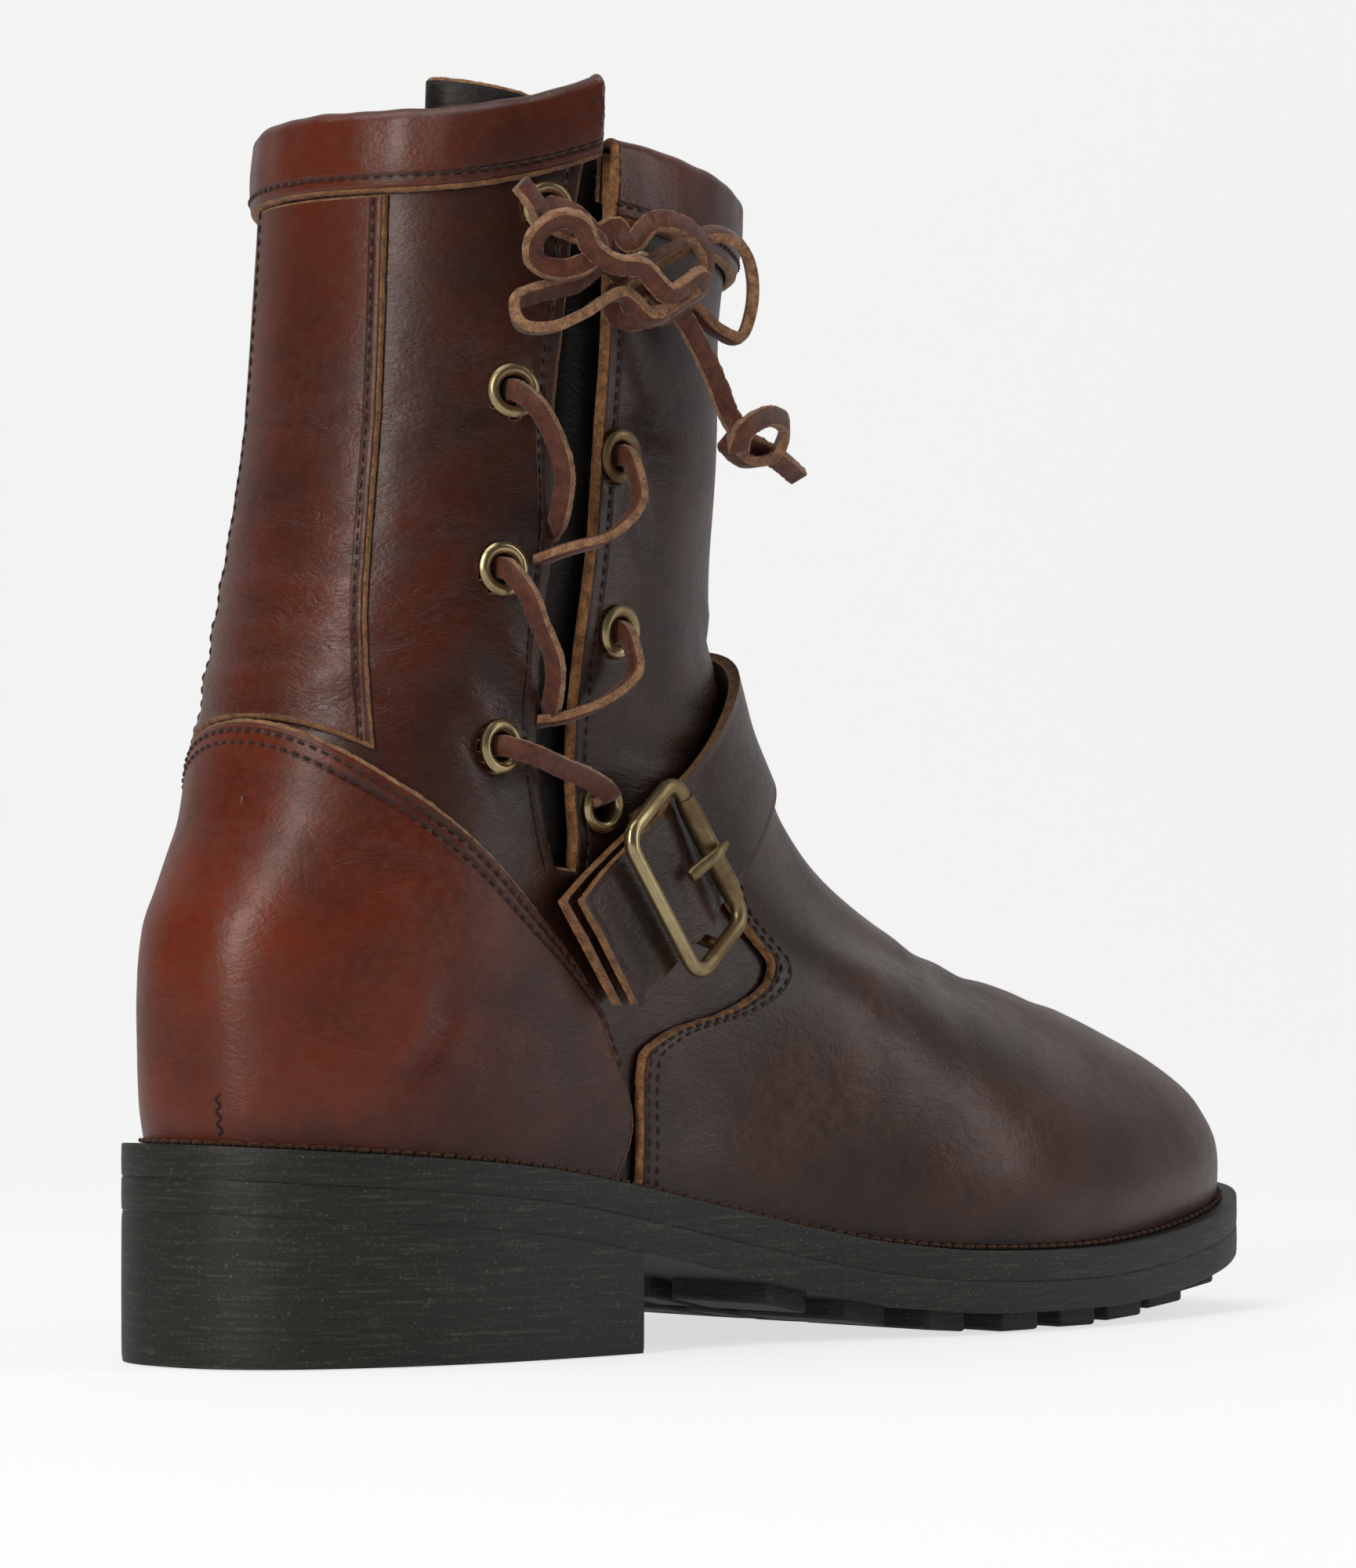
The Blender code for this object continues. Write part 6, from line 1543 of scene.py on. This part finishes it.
def sole_layer(name, top, bottom, grow, finish, slot, stands_for, soft=0.00022, steps=150, until=None):
    """Layer of the sole between two height functions, with rounded edges."""
    turns = np.linspace(0, math.pi, steps)
    rings = []
    for share, inset in ((0.0, soft), (0.04, soft * 0.25), (0.12, 0.0), (0.5, -TRIM), (0.88, 0.0),
                         (0.96, soft * 0.25), (1.0, soft)):
        halves = []
        for sign in (1, -1):
            edge = on_sole_edge(sign * turns, grow - inset)
            if until is not None:
                width = np.interp(until, edge[:, 1], edge[:, 0])
                edge[:, 0] = np.where(edge[:, 1] > until, width, edge[:, 0])
                edge[:, 1] = np.minimum(edge[:, 1], until)
            z = top(edge[:, 1]) * (1 - share) + bottom(edge[:, 1]) * share
            halves.append(np.stack([edge[:, 0], edge[:, 1], z], axis=1))
        rings.append(np.concatenate([halves[0], halves[1][::-1]]))
    rings = np.array(rings) - ORIGIN
    size = rings.shape[1]
    faces = grid_faces(len(rings), size, True)[:, ::-1].tolist()
    for base in (0, (len(rings) - 1) * size):
        faces += [[base + i, base + i + 1, base + size - 2 - i, base + size - 1 - i]
                  for i in range(steps - 1)]
    return dress(name, rings.reshape(-1, 3), faces, [finish], slot=slot, stands_for=stands_for, sharp=35.0)


sole_layer("rubber_midsole", sole_top, under_midsole, OVERHANG, RUBBER, "black_sole", ["midsole"])
sole_layer("rubber_outsole", lambda y: under_midsole(y) - TRIM, under_outsole, OVERHANG, RUBBER,
           "black_sole", ["outsole"])
sole_layer("rubber_heel", lambda y: under_outsole(y) - TRIM, lambda y: 0 * y, OVERHANG, RUBBER,
           "black_sole", ["heel"], until=HEEL_LENGTH)
sole_layer("leather_insole", lambda y: sole_top(y) + GAP + INSOLE, lambda y: sole_top(y) + GAP,
           -(WALL + 4 * GAP), INSOLE_FINISH, "insole_leather", ["insole"])


# %% Lugs
def half_width(turns, y):
    edge = on_sole_edge(turns, OVERHANG)
    return np.interp(y, edge[:, 1], np.abs(edge[:, 0]))


half_turn = np.linspace(0, math.pi, 60)
parts = []
start, end = HEEL_LENGTH + 0.125 * LENGTH, LENGTH - 2.4 * LUG_LENGTH
for number in range(int((end - start) / (LUG_LENGTH + LUG_GAP)) + 1):
    y0 = start + number * (LUG_LENGTH + LUG_GAP)
    y1 = y0 + LUG_LENGTH
    wide = [min(half_width(s * half_turn, y) for y in (y0, y1)) - EDGE_MARGIN for s in (1, -1)]
    for x0, x1 in ((LUG_CHANNEL, wide[0]), (-LUG_CHANNEL / 2, LUG_CHANNEL / 2), (-wide[1], -LUG_CHANNEL)):
        points = []
        for y in (y0, y1):
            foot, top = float(under_outsole(y)) - LUG_HEIGHT, float(under_outsole(y)) + MM
            points += [(x, y, z) for x, z in ((x0, foot), (x1, foot), (x1, top), (x0, top))]
        faces = [[0, 1, 2, 3], [7, 6, 5, 4]] + [[k, k + 4, (k + 1) % 4 + 4, (k + 1) % 4] for k in range(4)]
        parts.append((np.array(points) - ORIGIN, faces))
lugs = dress("rubber_lugs", *join(parts), [RUBBER], slot="black_sole")
rounding = lugs.modifiers.new("rounding", "BEVEL")
rounding.width = 0.0007
rounding.segments = 2
print("lug blocks:", len(parts))

# %% [markdown]
# Where the upper meets the sole a row of small tan stitches shows as scallops, about 3 mm apart.
# On the back of the counter one short dart is hand-stitched in a zigzag.

# %% Sole scallops and heel dart
DART_ROWS = (0.28, 1.29)
DART_TURN = 0.15
welt_turns = np.linspace(-math.pi * 0.98, math.pi * 0.98, 900)
welt = on_sole_edge(welt_turns, PANEL + 0.0011) - ORIGIN
welt[:, 2] = sole_top(welt[:, 1] + ORIGIN[1]) + 0.0006
outwards = [np.gradient(welt[:, 1]), -np.gradient(welt[:, 0]), 0 * welt[:, 0] + 0.0004]
welt_normals = unit(np.stack(outwards, axis=1))
points, faces = stitch_line(welt, welt_normals, WELT_PITCH, WELT_THREAD, 0.8)
dress("welt_stitches", points, faces, [PALE_THREAD])
zigzag_rows = np.linspace(DART_ROWS[0], DART_ROWS[1], 8)
parts = []
for number, (low_row, high_row) in enumerate(zip(zigzag_rows, zigzag_rows[1:])):
    lean = 0.012 * (-1) ** number
    rows, turns = np.linspace(low_row, high_row, 6), DART_TURN + np.linspace(-lean, lean, 6)
    base, normals = on_form(rows, turns)
    path = on_upper(rows, turns, OVERLAY_TOP + relief(base)[0])
    parts.append(stitch_line(path, normals, float(path_length(path)[-1]) * 0.999, 0.00030, 1.0))
dress("heel_dart_stitches", *join(parts), [THREAD])

# %% [markdown]
# The boot stands on a plain pale floor that curves up behind it. The light is a wide soft studio
# one: a large panel at the camera's left gives the warm heel its gloss, another at the right lays a
# broad grey sheen on shaft and vamp, and a third hangs over the boot.

# %% Floor and light
def pale_floor():
    made, tree, shader, _ = start_material("pale_floor")
    shader.inputs["Base Color"].default_value = (0.50, 0.50, 0.50, 1)
    shader.inputs["Roughness"].default_value = 0.95
    shader.inputs["Specular IOR Level"].default_value = 0.1
    shader.inputs["Emission Color"].default_value = (1, 1, 1, 1)
    seen = add(tree, "LightPath").outputs["Is Camera Ray"]
    tree.links.new(maths(tree, "MULTIPLY_ADD", seen, 0.475, 0.20), shader.inputs["Emission Strength"])
    return made


bend = [(0.9 + 0.8 * math.sin(a), 0.8 - 0.8 * math.cos(a)) for a in np.linspace(0, math.pi / 2, 24)]
sweep = [(-4.0, 0.0), (0.9, 0.0)] + bend + [(1.7, 4.0)]
facing = VIEW_ANGLE - VIEW_TURN
ahead = np.array([-math.sin(facing), math.cos(facing), 0.0])
beside = np.array([math.cos(facing), math.sin(facing), 0.0])
points = [ahead * u + beside * v + np.array([0, 0, z - 0.0002]) for u, z in sweep for v in (-5.0, 5.0)]
mesh = bpy.data.meshes.new("studio_sweep")
faces = [[2 * i, 2 * i + 1, 2 * i + 3, 2 * i + 2] for i in range(len(sweep) - 1)]
mesh.from_pydata([tuple(p) for p in points], [], faces)
mesh.materials.append(pale_floor())
mesh.shade_smooth()
floor = bpy.data.objects.new("studio_sweep", mesh)
bpy.context.collection.objects.link(floor)


def soft_light(name, place, aim, size, power, colour=(1, 1, 1)):
    light = bpy.data.lights.new(name, "AREA")
    light.shape = "RECTANGLE"
    light.size, light.size_y = size
    light.energy = power
    light.color = colour
    lamp = bpy.data.objects.new(name, light)
    bpy.context.collection.objects.link(lamp)
    lamp.location = place
    lamp.rotation_euler = (Vector(aim) - Vector(place)).to_track_quat("-Z", "Y").to_euler()
    return lamp


def from_view(right, up, back):
    """Place given as seen from the camera: right, up and towards it, in metres."""
    return beside * right - ahead * back + np.array([0, 0, up])


AIM = (0.0, 0.03, 0.12)
lamps = [soft_light("left_panel", from_view(-0.85, 0.95, 1.55), AIM, (0.45, 1.5), 14, (1.0, 0.95, 0.88)),
         soft_light("right_panel", from_view(1.7, 0.9, 0.1), AIM, (0.6, 1.8), 6, (1.0, 0.99, 0.97)),
         soft_light("top_panel", from_view(-0.4, 2.0, 0.2), AIM, (1.6, 1.4), 12)]
world = bpy.data.worlds.new("studio_air")
world.use_nodes = True
world.node_tree.nodes["Background"].inputs[0].default_value = (1, 1, 1, 1)
world.node_tree.nodes["Background"].inputs[1].default_value = 0.05
bpy.context.scene.world = world
bpy.context.scene.view_settings.view_transform = "Standard"
print("lights:", len(lamps))
